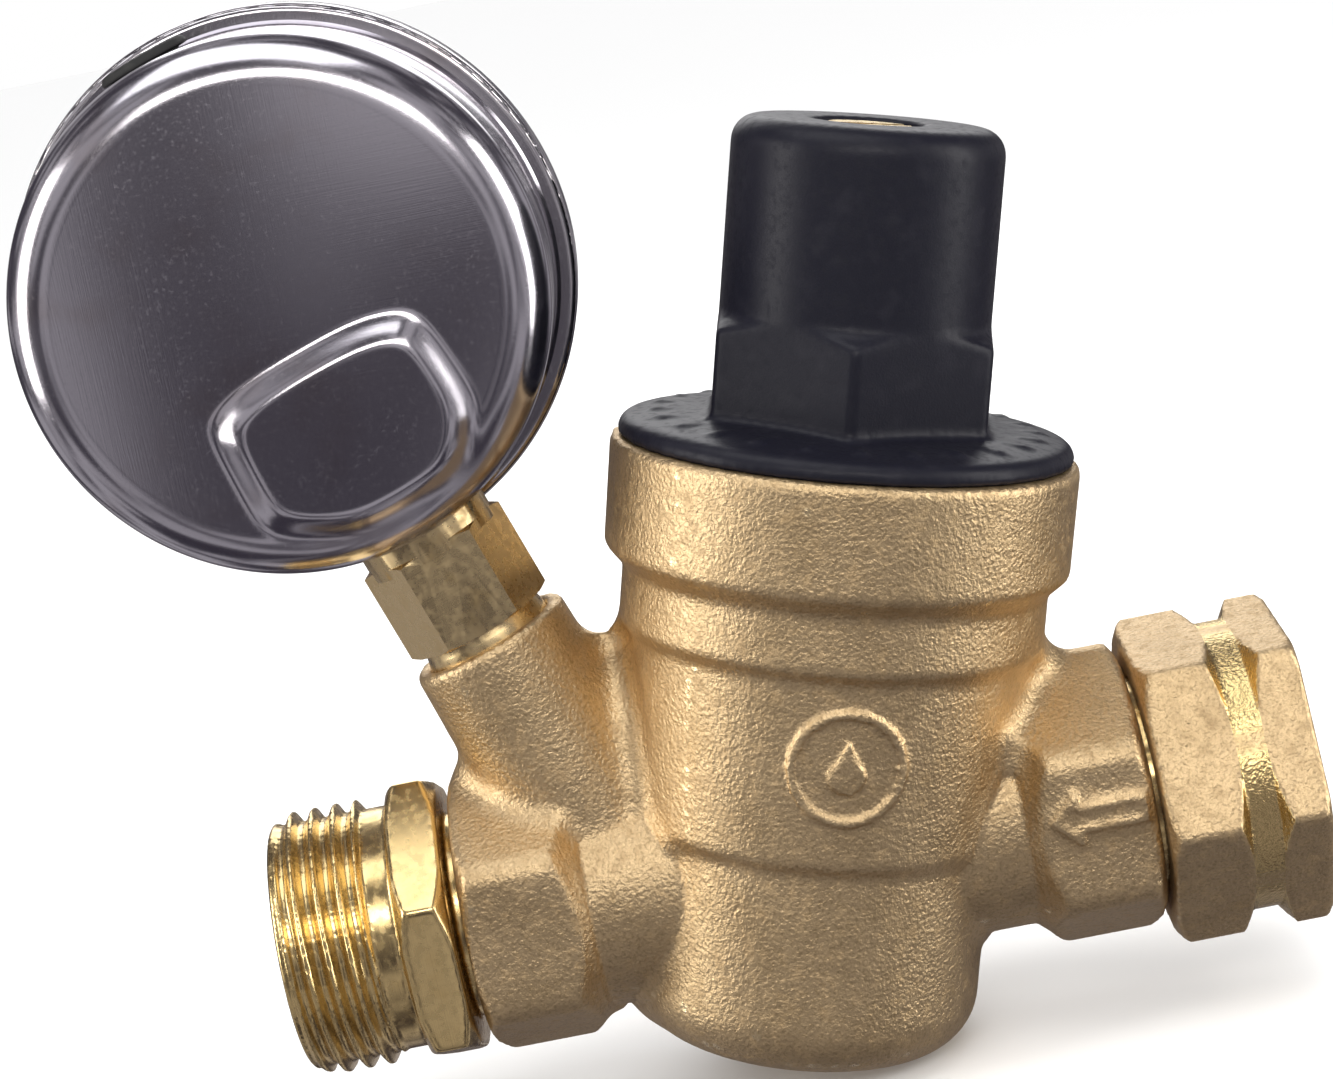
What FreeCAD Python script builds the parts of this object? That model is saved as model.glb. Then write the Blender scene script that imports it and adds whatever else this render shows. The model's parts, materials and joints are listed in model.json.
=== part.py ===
import FreeCAD, Part
import math
import os
import re

import Sketcher

# Adjustable water pressure regulator with a hose-thread inlet swivel nut, a hose-thread
# outlet, a bonnet leaning 15 degrees from the pipe's perpendicular and a 2 in dial gauge.
# Row frame: +X along the pipe towards the supply, +Z up, origin on the pipe axis just
# inside the mouth of the inlet nut. Lengths are millimetres, angles are degrees.
#
# Four local frames are used:
#   pipe    X along the pipe, origin where the bonnet axis crosses the pipe axis
#   bonnet  Z up the bonnet axis, from the same crossing
#   stem    Z up the gauge's stem axis, origin where that axis crosses the pipe axis
#   dial    Z out of the dial's glass, Y up the dial, origin at the dial's centre

DIMENSIONS = {
    # layout
    "mouth_x": 49.3, "bonnet_tilt": 15.0, "stem_tilt": 18.6, "stem_foot_x": -18.5,
    "dial_rise": 68.45, "fit_gap": 0.02, "run_gap": 0.05,
    # garden hose thread, 3/4 in, 11.5 turns per inch, 60 degree flanks
    "hose_pitch": 2.209, "hose_crest_r": 13.49, "hose_root_r": 12.06,
    "nut_crest_r": 12.2, "nut_root_r": 13.62, "crest_flat": 0.276,
    # half inch pipe thread and quarter inch gauge thread, both drawn as plain cylinders
    "pipe_thread_r": 10.6, "stem_thread_r": 6.6, "water_bore_r": 8.0,
    # forged body, outside
    "base_z": -19.4, "base_r": 17.7, "base_round": 6.0, "step_low_z": 2.0, "step_low_r": 17.85,
    "step_high_z": 3.3, "barrel_low_r": 18.8, "barrel_top_z": 21.6, "barrel_r": 20.0,
    "band_low_z": 22.8, "band_r": 21.25, "rim_low_z": 28.4, "rim_base_z": 30.3, "rim_base_r": 23.2,
    "rim_r": 23.3, "rim_top_z": 41.2, "neck_r": 11.9, "boss_flats": 26.7, "boss_round": 3.0,
    "out_face_x": -35.2, "out_root_x": -25.5, "in_face_x": 33.5, "in_root_x": 23.5,
    "boss_chamfer": 1.0, "gauge_boss_r": 8.3, "gauge_boss_top": 29.6,
    "saddle_r": 2.2,
    # forged body, inside
    "bonnet_bore_r": 21.0, "bonnet_seat_z": 31.0, "piston_bore_r": 16.0, "piston_stop_z": 19.5,
    "upper_room_r": 13.0, "upper_room_z": 8.0, "seat_bore_r": 8.2, "lower_room_z": -4.0,
    "lower_room_r": 11.0, "lower_floor_z": -17.8, "socket_depth": 11.5, "port_r": 4.4,
    "gauge_port_r": 2.0, "bore_end_x": 21.0, "gauge_socket_z": 17.4,
    # flow arrow
    "relief": 0.35, "arrow_x": 27.8, "arrow_z": 1.6, "arrow_long": 9.0, "arrow_wide": 4.9,
    "arrow_shaft": 2.4,
    # outlet adapter
    "out_end_x": -53.8, "first_crest_x": -52.0, "relief_r": 12.35, "relief_x": -44.3,
    "out_hex_x": -41.6, "out_hex_end_x": -36.3, "out_hex_flats": 27.0, "out_hex_turn": 39.5,
    "out_neck_r": 10.35, "hex_chamfer_x": 1.1, "hex_chamfer_r": 2.1,
    # inlet tailpiece, nut, washer and screen
    "tail_flange_x": 37.0, "tail_flange_end": 38.8, "tail_flange_r": 12.0, "nut_x": 34.0,
    "nut_end_x": 49.8, "nut_round": 0.6, "nut_corner_r": 17.3,
    "nut_flats": 29.2, "nut_turn": 6.0, "nut_hole_r": 10.9,
    "nut_wall_x": 36.8, "nut_room_r": 12.9, "nut_thread_x": 42.0, "nut_groove_r": 14.98,
    "groove_a": 40.4, "groove_b": 41.9, "groove_c": 44.8, "groove_d": 46.1,
    "nut_back_chamfer_x": 1.15, "nut_back_chamfer_r": 2.3, "nut_front_chamfer_x": 0.95,
    "nut_front_chamfer_r": 1.7, "washer_x": 39.2, "washer_end_x": 41.7, "washer_hole_r": 8.4,
    "washer_r": 12.5, "screen_wall": 0.4, "screen_r": 7.6, "screen_flange_r": 10.6,
    "screen_deep": 9.0, "screen_slot": 1.1,
    # bonnet
    "flange_r": 22.6, "flange_edge_z": 43.05, "flange_round": 1.5, "hex_base_z": 44.2,
    "bonnet_hex_flats": 26.8, "bonnet_hex_turn": 27.0, "bonnet_hex_top": 54.1,
    "chimney_r": 13.4, "cap_top_z": 73.3, "cap_round": 2.6, "cap_hole_r": 5.4,
    "skirt_r": 20.95, "spring_room_r": 11.3, "spring_room_z": 60.0, "skirt_room_r": 17.6,
    "skirt_room_z": 40.0, "insert_r": 7.6, "insert_top_z": 70.0, "tick_r": 18.2,
    "tick_wide": 0.8, "tick_long": 2.4, "tick_tall": 0.3,
    # adjusting screw and the plate that it pushes
    "screw_r": 4.95, "screw_hole_r": 5.01, "screw_top_z": 73.0, "screw_end_z": 52.0,
    "screw_bevel": 0.9, "slot_wide": 1.6, "slot_deep": 2.0, "plate_z": 49.0, "plate_r": 10.4,
    "plate_spigot_r": 5.6, "plate_spigot": 3.0,
    # springs
    "spring_mean_r": 7.7, "spring_wire_r": 1.55, "spring_turns": 5.5,
    # piston, seat and valve disc
    "piston_r": 15.93, "piston_top_z": 27.6, "piston_cup_r": 10.8, "piston_cup_z": 25.6,
    "stem_r": 3.0, "stem_end_z": -11.4, "ring_groove_z": 22.4, "ring_groove_r": 13.6,
    "ring_tall": 2.6, "ring_r": 15.9, "seat_hole_r": 5.6, "seat_lip_r": 6.4,
    "seat_lip": 0.8, "seat_base_z": -3.2, "disc_r": 8.0, "disc_end_z": -9.6,
    "rubber_top_z": -7.2, "rubber_deep": 1.6, "rubber_r": 7.2, "keeper_flats": 7.0,
    "keeper_end_z": -12.0,
    # gauge socket
    "socket_hex_z": 31.0, "socket_hex_end_z": 40.9, "socket_hex_flats": 13.4,
    "socket_hex_turn": 7.0, "collar_r": 6.9, "collar_end_z": 45.0, "block_wide": 11.0,
    "block_deep": 9.0, "block_end_z": 51.55, "socket_bore_r": 1.6, "tongue_end_z": 60.55,
    "tongue_front": -1.6,
    # gauge case, bezel, lens and dial
    "case_r": 26.2, "case_wall": 0.8, "case_back": -10.2, "case_dome": 0.8, "case_round": 3.2,
    "case_lip_r": 27.2, "case_lip_z": 9.2, "bump_tall": 1.7, "plug_hole_r": 3.6, "bezel_r": 28.4,
    "bezel_back_z": 8.5, "bezel_front_z": 15.5, "window_r": 24.2,
    "lens_z": 12.2, "lens_r": 27.2, "lens_thick": 2.4, "gasket_r": 25.2, "dial_r": 24.9,
    "dial_z": 8.6, "dial_thick": 0.5, "pointer_z": 10.2, "pointer_long": 19.0,
    "pointer_tail": 8.0, "pointer_hub_r": 2.6,
    # movement
    "arbor_r": 0.6, "plate_gap": 4.6, "frame_back": -1.6, "frame_half": 7.0,
    "frame_thick": 0.8, "tooth_module": 0.35, "pinion_teeth": 8, "sector_teeth": 64,
    "tail_angle": -17.0, "gear_centres": 12.64, "pillar_r": 0.75, "frame_front": 3.8,
    "frame_top_y": 3.6, "frame_low_y": -16.8, "frame_screw_x": 3.6, "frame_screw_y": -10.3,
    "frame_tap_r": 0.8, "dial_screw_x": 6.0, "dial_screw_y": -4.0, "link_from_x": 4.016,
    "link_from_y": -13.868, "link_to_x": 14.0, "link_to_y": -9.4, "link_z": 2.75,
    "link_thick": 0.6, "link_half": 0.85, "eye_r": 1.3, "link_travel": 2.44,
    "tube_start": -104.0, "tube_sweep": 276.0, "tube_wall": 0.35,
    "gear_z": 1.2, "gear_thick": 1.4, "tail_long": 4.2, "tube_r": 18.0, "tube_wide": 5.4,
    "tube_thick": 1.9, "tube_z": 0.6,
}

doc = FreeCAD.newDocument("WaterPressureRegulator")
sheet = doc.addObject("Spreadsheet::Sheet", "Dimensions")
for row, (alias, number) in enumerate(DIMENSIONS.items(), start=1):
    sheet.set("A%d" % row, alias.replace("_", " "))
    sheet.set("B%d" % row, str(number))
    sheet.setAlias("B%d" % row, alias)
doc.recompute()


def bound(expression):
    """Point every alias in an expression at the spreadsheet."""
    def swap(match):
        word = match.group(0)
        return "Dimensions." + word if word in DIMENSIONS else word
    return re.sub(r"[a-z_]+", swap, str(expression))


def size(expression):
    """Value of an expression of sheet aliases."""
    return float(sheet.evalExpression(bound(expression)))


TURN_X = FreeCAD.Vector(1, 0, 0)
TURN_Y = FreeCAD.Vector(0, 1, 0)
TURN_Z = FreeCAD.Vector(0, 0, 1)
LEAN_BONNET = FreeCAD.Rotation(TURN_Y, size("bonnet_tilt"))
LEAN_STEM = FreeCAD.Rotation(TURN_Y, -size("stem_tilt"))
CROSSING = FreeCAD.Vector(-size("mouth_x"), 0, 0)
STEM_FOOT = CROSSING + FreeCAD.Vector(size("stem_foot_x"), 0, 0)
DIAL_CENTRE = STEM_FOOT + LEAN_STEM.multVec(FreeCAD.Vector(0, 0, size("dial_rise")))
FACE_DIAL = LEAN_STEM * FreeCAD.Rotation(TURN_X, -90) * FreeCAD.Rotation(TURN_Z, 180)
FRAMES = {
    "pipe": FreeCAD.Placement(CROSSING, FreeCAD.Rotation()),
    "bonnet": FreeCAD.Placement(CROSSING, LEAN_BONNET),
    "stem": FreeCAD.Placement(STEM_FOOT, LEAN_STEM),
    "dial": FreeCAD.Placement(DIAL_CENTRE, FACE_DIAL),
}
SUBPARTS = []


def new_body(label, frame):
    """Empty PartDesign body that becomes one sub-part."""
    body = doc.addObject("PartDesign::Body", label)
    body.Label = label
    body.Placement = FRAMES[frame]
    SUBPARTS.append(body)
    return body


def new_shape(label, frame, shape):
    """Sub-part whose outline is a swept or toothed shape."""
    feature = doc.addObject("Part::Feature", label)
    feature.Label = label
    feature.Shape = shape
    feature.Placement = FRAMES[frame]
    SUBPARTS.append(feature)
    return feature


def sketch_on(body, name, plane, lift="0", turn="0", shift="0"):
    """Sketch on one of the body's own origin planes, lifted along its normal and turned in it."""
    sketch = body.newObject("Sketcher::SketchObject", name)
    origin = [item for item in body.Origin.OriginFeatures if item.Role == plane + "_Plane"][0]
    sketch.AttachmentSupport = [(origin, "")]
    sketch.MapMode = "FlatFace"
    sketch.AttachmentOffset = FreeCAD.Placement(
        FreeCAD.Vector(size(shift), 0, size(lift)), FreeCAD.Rotation(TURN_Z, size(turn)))
    sketch.setExpression("AttachmentOffset.Base.x", bound(shift))
    sketch.setExpression("AttachmentOffset.Base.z", bound(lift))
    sketch.setExpression("AttachmentOffset.Rotation.Angle", bound(turn))
    return sketch


def draw_outline(sketch, points):
    """Closed polygon whose corners are bound to the spreadsheet."""
    first = sketch.GeometryCount
    corners = [FreeCAD.Vector(size(x), size(y), 0) for x, y in points]
    count = len(corners)
    for index in range(count):
        line = Part.LineSegment(corners[index], corners[(index + 1) % count])
        sketch.addGeometry(line, False)
    for index in range(count):
        after = first + (index + 1) % count
        sketch.addConstraint(Sketcher.Constraint("Coincident", first + index, 2, after, 1))
    for index, (x, y) in enumerate(points):
        across = sketch.addConstraint(
            Sketcher.Constraint("DistanceX", first + index, 1, corners[index].x))
        sketch.setExpression("Constraints[%d]" % across, bound(x))
        along = sketch.addConstraint(
            Sketcher.Constraint("DistanceY", first + index, 1, corners[index].y))
        sketch.setExpression("Constraints[%d]" % along, bound(y))


def draw_circle(sketch, x, y, radius):
    """Circle whose centre and radius are bound to the spreadsheet."""
    centre = FreeCAD.Vector(size(x), size(y), 0)
    circle = sketch.addGeometry(Part.Circle(centre, TURN_Z, size(radius)), False)
    for kind, number, text in (("DistanceX", centre.x, x), ("DistanceY", centre.y, y)):
        held = sketch.addConstraint(Sketcher.Constraint(kind, circle, 3, number))
        sketch.setExpression("Constraints[%d]" % held, bound(text))
    held = sketch.addConstraint(Sketcher.Constraint("Radius", circle, size(radius)))
    sketch.setExpression("Constraints[%d]" % held, bound(radius))


def revolve(body, name, axis, points, kind="Revolution", turn="0", shift="0"):
    """Turn an outline in the XZ plane about the sketch's own axis: H along X, V along Z."""
    sketch = sketch_on(body, name + "Outline", "XZ", turn=turn, shift=shift)
    draw_outline(sketch, points)
    feature = body.newObject("PartDesign::" + kind, name)
    feature.Profile = sketch
    feature.ReferenceAxis = (sketch, [axis + "_Axis"])
    feature.Angle = 360
    doc.recompute()
    return feature


def extrude(body, name, sketch, length, kind="Pad", backwards=False, both=False):
    """Pad or pocket a sketch by a bound length."""
    feature = body.newObject("PartDesign::" + kind, name)
    feature.Profile = sketch
    feature.Length = size(length)
    feature.setExpression("Length", bound(length))
    feature.Reversed = backwards
    if both:
        feature.Midplane = True
    doc.recompute()
    return feature


def hexagon(flats, turn):
    """Corners of a hexagon from its size across flats and the angle of its first corner."""
    corner = "(%s)/2/cos(30)*%s(%s+%d)"
    return [(corner % (flats, "cos", turn, 60 * k), corner % (flats, "sin", turn, 60 * k))
            for k in range(6)]


def hex_pad(body, name, plane, lift, flats, turn, length, **sketch_options):
    """Hexagonal prism."""
    sketch = sketch_on(body, name + "Outline", plane, lift=lift, **sketch_options)
    draw_outline(sketch, hexagon(flats, turn))
    return extrude(body, name, sketch, length)


def edges_where(feature, test):
    """Names of the edges whose middle point and edge pass a test."""
    names = []
    for number, edge in enumerate(feature.Shape.Edges, start=1):
        middle = edge.valueAt((edge.FirstParameter + edge.LastParameter) / 2)
        if test(edge, middle):
            names.append("Edge%d" % number)
    return names


def round_edges(body, name, feature, radius, test):
    """Fillet the chosen edges of a feature."""
    names = edges_where(feature, test)
    rounding = body.newObject("PartDesign::Fillet", name)
    rounding.Base = (feature, names)
    rounding.Radius = size(radius)
    rounding.setExpression("Radius", bound(radius))
    doc.recompute()
    return rounding


def thread_rings(start, pitch, crest, root, rings, flat, outward):
    """Zigzag of annular thread grooves along X: crest lands joined by 60 degree flanks."""
    depth = "(%s-%s)" % ((crest, root) if outward else (root, crest))
    flank = "%s*tan(30)" % depth
    points = []
    for ring in range(rings):
        middle = "%s+%d*%s" % (start, ring, pitch)
        points.append(("%s-%s/2" % (middle, flat), crest))
        points.append(("%s+%s/2" % (middle, flat), crest))
        if ring < rings - 1:
            points.append(("%s+%s/2+%s" % (middle, flat, flank), root))
            points.append(("%s+%s-%s/2-%s" % (middle, pitch, flat, flank), root))
    return points


# ---------------------------------------------------------------- forged valve body
body = new_body("valve_body", "pipe")
hex_pad(body, "OutletHex", "YZ", "out_face_x", "boss_flats", "30", "out_root_x-out_face_x+2")
hex_pad(body, "InletHex", "YZ", "in_root_x-2", "boss_flats", "30", "in_face_x-in_root_x+2")
spine = revolve(body, "Spine", "H", [
    ("out_face_x+4", "0"), ("out_face_x+4", "neck_r"), ("in_face_x-4", "neck_r"),
    ("in_face_x-4", "0")])
round_edges(body, "HexCorners", spine, "boss_round", lambda edge, middle: (
    abs(edge.tangentAt(edge.FirstParameter).x) > 0.999
    and math.hypot(middle.y, middle.z) > size("boss_flats/2+0.8")))
for name, face, way in (("Outlet", "out_face_x", "+"), ("Inlet", "in_face_x", "-")):
    revolve(body, name + "Bevel", "H", [
        (face, "boss_flats/2-0.2"), (face, "boss_flats/2+4"),
        ("%s%s(boss_chamfer+1)" % (face, way), "boss_flats/2+4"),
        ("%s%sboss_chamfer" % (face, way), "boss_flats/2+1.5")], kind="Groove")
for name, root, way in (("Outlet", "out_root_x", "-"), ("Inlet", "in_root_x", "+")):
    back = "+" if way == "-" else "-"
    revolve(body, name + "Taper", "H", [
        ("%s%s2.6" % (root, back), "neck_r"), ("%s%s2.6" % (root, back), "boss_flats/2+5"),
        ("%s%s0.9" % (root, way), "boss_flats/2+5"), ("%s%s0.4" % (root, way), "boss_flats/2+2.2")],
        kind="Groove")
barrel = revolve(body, "Barrel", "V", [
    ("0", "base_z"), ("base_r", "base_z"), ("step_low_r", "step_low_z"),
    ("barrel_low_r", "step_high_z"), ("barrel_r", "barrel_top_z"), ("band_r", "band_low_z"),
    ("band_r", "rim_low_z"), ("rim_base_r", "rim_base_z"), ("rim_r", "rim_top_z"),
    ("0", "rim_top_z")], turn="-bonnet_tilt")
round_edges(body, "BaseRound", barrel, "base_round", lambda edge, middle: (
    hasattr(edge.Curve, "Radius") and abs(edge.Curve.Radius - size("base_r")) < 0.01
    and edge.Curve.Center.z < size("base_z+3")))
boss = revolve(body, "GaugeBoss", "V", [
    ("0", "2"), ("gauge_boss_r+0.7", "2"), ("gauge_boss_r", "gauge_boss_top"),
    ("0", "gauge_boss_top")], turn="stem_tilt", shift="stem_foot_x")


def axis_distance(point, foot_x, lean):
    """Distance of a point from an axis that leans in the XZ plane, in the pipe frame."""
    across = (point.x - foot_x) * math.cos(lean) - point.z * math.sin(lean)
    return math.hypot(across, point.y)


def on_saddle(edge, middle):
    """True for the edges where the gauge boss runs into the leaning barrel."""
    boss_r = axis_distance(middle, size("stem_foot_x"), -math.radians(size("stem_tilt")))
    barrel_r = axis_distance(middle, 0, math.radians(size("bonnet_tilt")))
    return abs(boss_r - size("gauge_boss_r+0.4")) < 0.4 and size("barrel_low_r") < barrel_r < size(
        "barrel_r") and middle.z > size("neck_r")


round_edges(body, "Saddle", boss, "saddle_r", on_saddle)
arrow = sketch_on(body, "FlowArrow", "XZ", lift="boss_flats/2-0.4")
draw_outline(arrow, [
    ("arrow_x-arrow_long/2", "arrow_z"),
    ("arrow_x-arrow_long/2+arrow_wide/2", "arrow_z+arrow_wide/2"),
    ("arrow_x-arrow_long/2+arrow_wide/2", "arrow_z+arrow_shaft/2"),
    ("arrow_x+arrow_long/2", "arrow_z+arrow_shaft/2"),
    ("arrow_x+arrow_long/2", "arrow_z-arrow_shaft/2"),
    ("arrow_x-arrow_long/2+arrow_wide/2", "arrow_z-arrow_shaft/2"),
    ("arrow_x-arrow_long/2+arrow_wide/2", "arrow_z-arrow_wide/2")])
extrude(body, "ArrowRelief", arrow, "relief+0.4")

revolve(body, "BonnetCavity", "V", [
    ("0", "lower_floor_z"), ("lower_room_r", "lower_floor_z"), ("lower_room_r", "lower_room_z"),
    ("seat_bore_r", "lower_room_z"), ("seat_bore_r", "upper_room_z"),
    ("upper_room_r", "upper_room_z"), ("upper_room_r", "piston_stop_z"),
    ("piston_bore_r", "piston_stop_z"), ("piston_bore_r", "bonnet_seat_z"),
    ("bonnet_bore_r", "bonnet_seat_z"), ("bonnet_bore_r", "rim_top_z+1"), ("0", "rim_top_z+1")],
    kind="Groove", turn="-bonnet_tilt")
for name, face, way, back in (("Outlet", "out_face_x", "+", "-"), ("Inlet", "in_face_x", "-", "+")):
    revolve(body, name + "Bore", "H", [
        ("%s%s1" % (face, back), "0"), ("%s%s1" % (face, back), "pipe_thread_r+fit_gap"),
        ("%s%ssocket_depth" % (face, way), "pipe_thread_r+fit_gap"),
        ("%s%ssocket_depth" % (face, way), "water_bore_r"),
        ("%sbore_end_x" % back, "water_bore_r"), ("%s(bore_end_x-3)" % back, "0")], kind="Groove")
# slanted passages: the inlet feeds the room under the seat, the outlet leaves the room above
revolve(body, "UpperPort", "V", [("0", "-1"), ("port_r", "-1"), ("port_r", "19.5"), ("0", "19.5")],
        kind="Groove", turn="-53.7", shift="-bore_end_x")
revolve(body, "LowerPort", "V", [("0", "1"), ("0", "-19.5"), ("port_r", "-19.5"), ("port_r", "1")],
        kind="Groove", turn="-61.7", shift="bore_end_x")
revolve(body, "GaugePort", "V", [
    ("0", "-1"), ("gauge_port_r", "-1"), ("gauge_port_r", "gauge_socket_z"),
    ("stem_thread_r+fit_gap", "gauge_socket_z"), ("stem_thread_r+fit_gap", "gauge_boss_top+1"),
    ("0", "gauge_boss_top+1")], kind="Groove", turn="stem_tilt", shift="stem_foot_x")

# ---------------------------------------------------------------- outlet adapter
adapter = new_body("outlet_adapter", "pipe")
hex_pad(adapter, "Hex", "YZ", "out_hex_x", "out_hex_flats", "out_hex_turn",
        "out_hex_end_x-out_hex_x")
for name, face, way in (("Left", "out_hex_x", "+"), ("Right", "out_hex_end_x", "-")):
    revolve(adapter, name + "Bevel", "H", [
        (face, "out_hex_flats/2/cos(30)-hex_chamfer_r"), (face, "out_hex_flats/2/cos(30)+1"),
        ("%s%s(hex_chamfer_x*1.5)" % (face, way), "out_hex_flats/2/cos(30)+1"),
        ("%s%shex_chamfer_x" % (face, way), "out_hex_flats/2/cos(30)")], kind="Groove")
rings = thread_rings("first_crest_x", "hose_pitch", "hose_crest_r", "hose_root_r", 4,
                     "crest_flat", True)
revolve(adapter, "Shank", "H", [
    ("out_end_x", "0"), ("out_end_x", "hose_root_r+0.3")] + rings + [
    ("relief_x-0.5", "relief_r"), ("out_hex_x+1", "relief_r"),
    ("out_hex_x+1", "out_neck_r"), ("out_face_x", "out_neck_r"),
    ("out_face_x+0.4", "pipe_thread_r"), ("out_face_x+socket_depth-1", "pipe_thread_r"),
    ("out_face_x+socket_depth-0.2", "pipe_thread_r-0.8"),
    ("out_face_x+socket_depth-0.2", "0")])
revolve(adapter, "Waterway", "H", [
    ("out_end_x-1", "0"), ("out_end_x-1", "water_bore_r+1.6"), ("out_end_x+0.6", "water_bore_r"),
    ("out_face_x+socket_depth+1", "water_bore_r"), ("out_face_x+socket_depth+1", "0")],
    kind="Groove")

# ---------------------------------------------------------------- inlet tailpiece
tail = new_body("inlet_tailpiece", "pipe")
revolve(tail, "Sleeve", "H", [
    ("in_face_x-socket_depth+0.2", "water_bore_r"),
    ("in_face_x-socket_depth+0.2", "pipe_thread_r-0.8"),
    ("in_face_x-socket_depth+1", "pipe_thread_r"), ("tail_flange_x", "pipe_thread_r"),
    ("tail_flange_x", "tail_flange_r"), ("tail_flange_end", "tail_flange_r"),
    ("tail_flange_end", "water_bore_r")])
# two lugs inside the sleeve take the key that tightens it
lugs = sketch_on(tail, "Lugs", "YZ", lift="in_face_x-socket_depth+0.2")
for side in ("-1", "1"):
    draw_outline(lugs, [
        ("%s*(water_bore_r+0.6)" % side, "-1"), ("%s*(water_bore_r-1.1)" % side, "-1"),
        ("%s*(water_bore_r-1.1)" % side, "1"), ("%s*(water_bore_r+0.6)" % side, "1")])
extrude(tail, "KeyLugs", lugs, "3")

# ---------------------------------------------------------------- swivel nut
nut = new_body("swivel_nut", "pipe")
nut_hex = hex_pad(nut, "Hex", "YZ", "nut_x", "nut_flats", "nut_turn", "nut_end_x-nut_x")
round_edges(nut, "HexCorners", nut_hex, "nut_round", lambda edge, middle: (
    abs(edge.tangentAt(edge.FirstParameter).x) > 0.999))
for name, face, way, deep, high in (
        ("Back", "nut_x", "+", "nut_back_chamfer_x", "nut_back_chamfer_r"),
        ("Front", "nut_end_x", "-", "nut_front_chamfer_x", "nut_front_chamfer_r")):
    revolve(nut, name + "Bevel", "H", [
        (face, "nut_corner_r-%s" % high), (face, "nut_corner_r+2"),
        ("%s%s(%s*2)" % (face, way, deep), "nut_corner_r+2"),
        ("%s%s%s" % (face, way, deep), "nut_corner_r")], kind="Groove")
revolve(nut, "GripGroove", "H", [
    ("groove_a", "nut_corner_r+0.1"), ("groove_b", "nut_groove_r"), ("groove_c", "nut_groove_r"),
    ("groove_d", "nut_corner_r+0.1"), ("groove_d", "nut_corner_r+2"),
    ("groove_a", "nut_corner_r+2")], kind="Groove")
inner = thread_rings("nut_thread_x+0.5", "hose_pitch", "nut_crest_r", "nut_root_r", 4,
                     "crest_flat", False)
revolve(nut, "HoseSocket", "H", [
    ("nut_x-1", "0"), ("nut_x-1", "nut_hole_r"), ("nut_wall_x", "nut_hole_r"),
    ("nut_wall_x", "nut_room_r"), ("nut_thread_x", "nut_room_r")] + inner + [
    ("nut_end_x-0.5", "nut_crest_r"), ("nut_end_x", "nut_crest_r+1.1"),
    ("nut_end_x+1", "nut_crest_r+1.1"), ("nut_end_x+1", "0")], kind="Groove")

# ---------------------------------------------------------------- hose washer
washer = new_body("hose_washer", "pipe")
revolve(washer, "Ring", "H", [
    ("washer_x", "washer_hole_r"), ("washer_x", "washer_r"), ("washer_end_x", "washer_r"),
    ("washer_end_x", "washer_hole_r")])

# ---------------------------------------------------------------- inlet screen
screen = new_body("inlet_screen", "pipe")
revolve(screen, "Cup", "H", [
    ("tail_flange_end", "screen_r"), ("tail_flange_end", "screen_flange_r"),
    ("washer_x", "screen_flange_r"), ("washer_x", "screen_r-screen_wall"),
    ("tail_flange_end-screen_deep+screen_wall", "screen_r-screen_wall-1.6"),
    ("tail_flange_end-screen_deep+screen_wall", "0"), ("tail_flange_end-screen_deep", "0"),
    ("tail_flange_end-screen_deep", "screen_r-1.6")])
slots = sketch_on(screen, "Slot", "XZ")
draw_outline(slots, [
    ("tail_flange_end-screen_deep+1.4", "-screen_slot/2"), ("tail_flange_end-1.2", "-screen_slot/2"),
    ("tail_flange_end-1.2", "screen_slot/2"), ("tail_flange_end-screen_deep+1.4", "screen_slot/2")])
slot_cut = extrude(screen, "SlotCut", slots, "screen_r+2", kind="Pocket", backwards=True)
slot_ring = screen.newObject("PartDesign::PolarPattern", "SlotRing")
slot_ring.Originals = [slot_cut]
slot_ring.Axis = ([item for item in screen.Origin.OriginFeatures if item.Role == "X_Axis"][0], [""])
slot_ring.Angle = 360
slot_ring.Occurrences = 12
screen.Tip = slot_ring
doc.recompute()

# ---------------------------------------------------------------- bonnet
bonnet = new_body("bonnet", "bonnet")
hex_pad(bonnet, "Hex", "XY", "hex_base_z-1", "bonnet_hex_flats", "bonnet_hex_turn",
        "bonnet_hex_top-hex_base_z+1")
revolve(bonnet, "HexBevel", "V", [
    ("bonnet_hex_flats/2-0.15", "bonnet_hex_top"), ("bonnet_hex_flats/2+3", "bonnet_hex_top"),
    ("bonnet_hex_flats/2+3", "bonnet_hex_top-2.0")], kind="Groove")
shell = revolve(bonnet, "Shell", "V", [
    ("spring_room_r", "bonnet_seat_z+0.5"), ("skirt_r-0.5", "bonnet_seat_z+0.5"),
    ("skirt_r", "bonnet_seat_z+1.2"), ("skirt_r", "rim_top_z"), ("flange_r", "rim_top_z"),
    ("flange_r", "flange_edge_z"), ("flange_r-3.4", "flange_edge_z+0.55"),
    ("bonnet_hex_flats/2+0.5", "hex_base_z"), ("chimney_r", "hex_base_z"),
    ("chimney_r", "cap_top_z"), ("cap_hole_r", "cap_top_z"), ("cap_hole_r", "insert_top_z"),
    ("insert_r", "insert_top_z"), ("insert_r", "spring_room_z"),
    ("spring_room_r", "spring_room_z")])
rounded = round_edges(bonnet, "CapRound", shell, "cap_round", lambda edge, middle: (
    hasattr(edge.Curve, "Radius") and abs(edge.Curve.Radius - size("chimney_r")) < 0.01
    and abs(middle.z - size("cap_top_z")) < 0.01))
rounded = round_edges(bonnet, "FlangeRound", rounded, "flange_round", lambda edge, middle: (
    hasattr(edge.Curve, "Radius") and abs(edge.Curve.Radius - size("flange_r")) < 0.01
    and abs(middle.z - size("flange_edge_z")) < 0.01))
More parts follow.
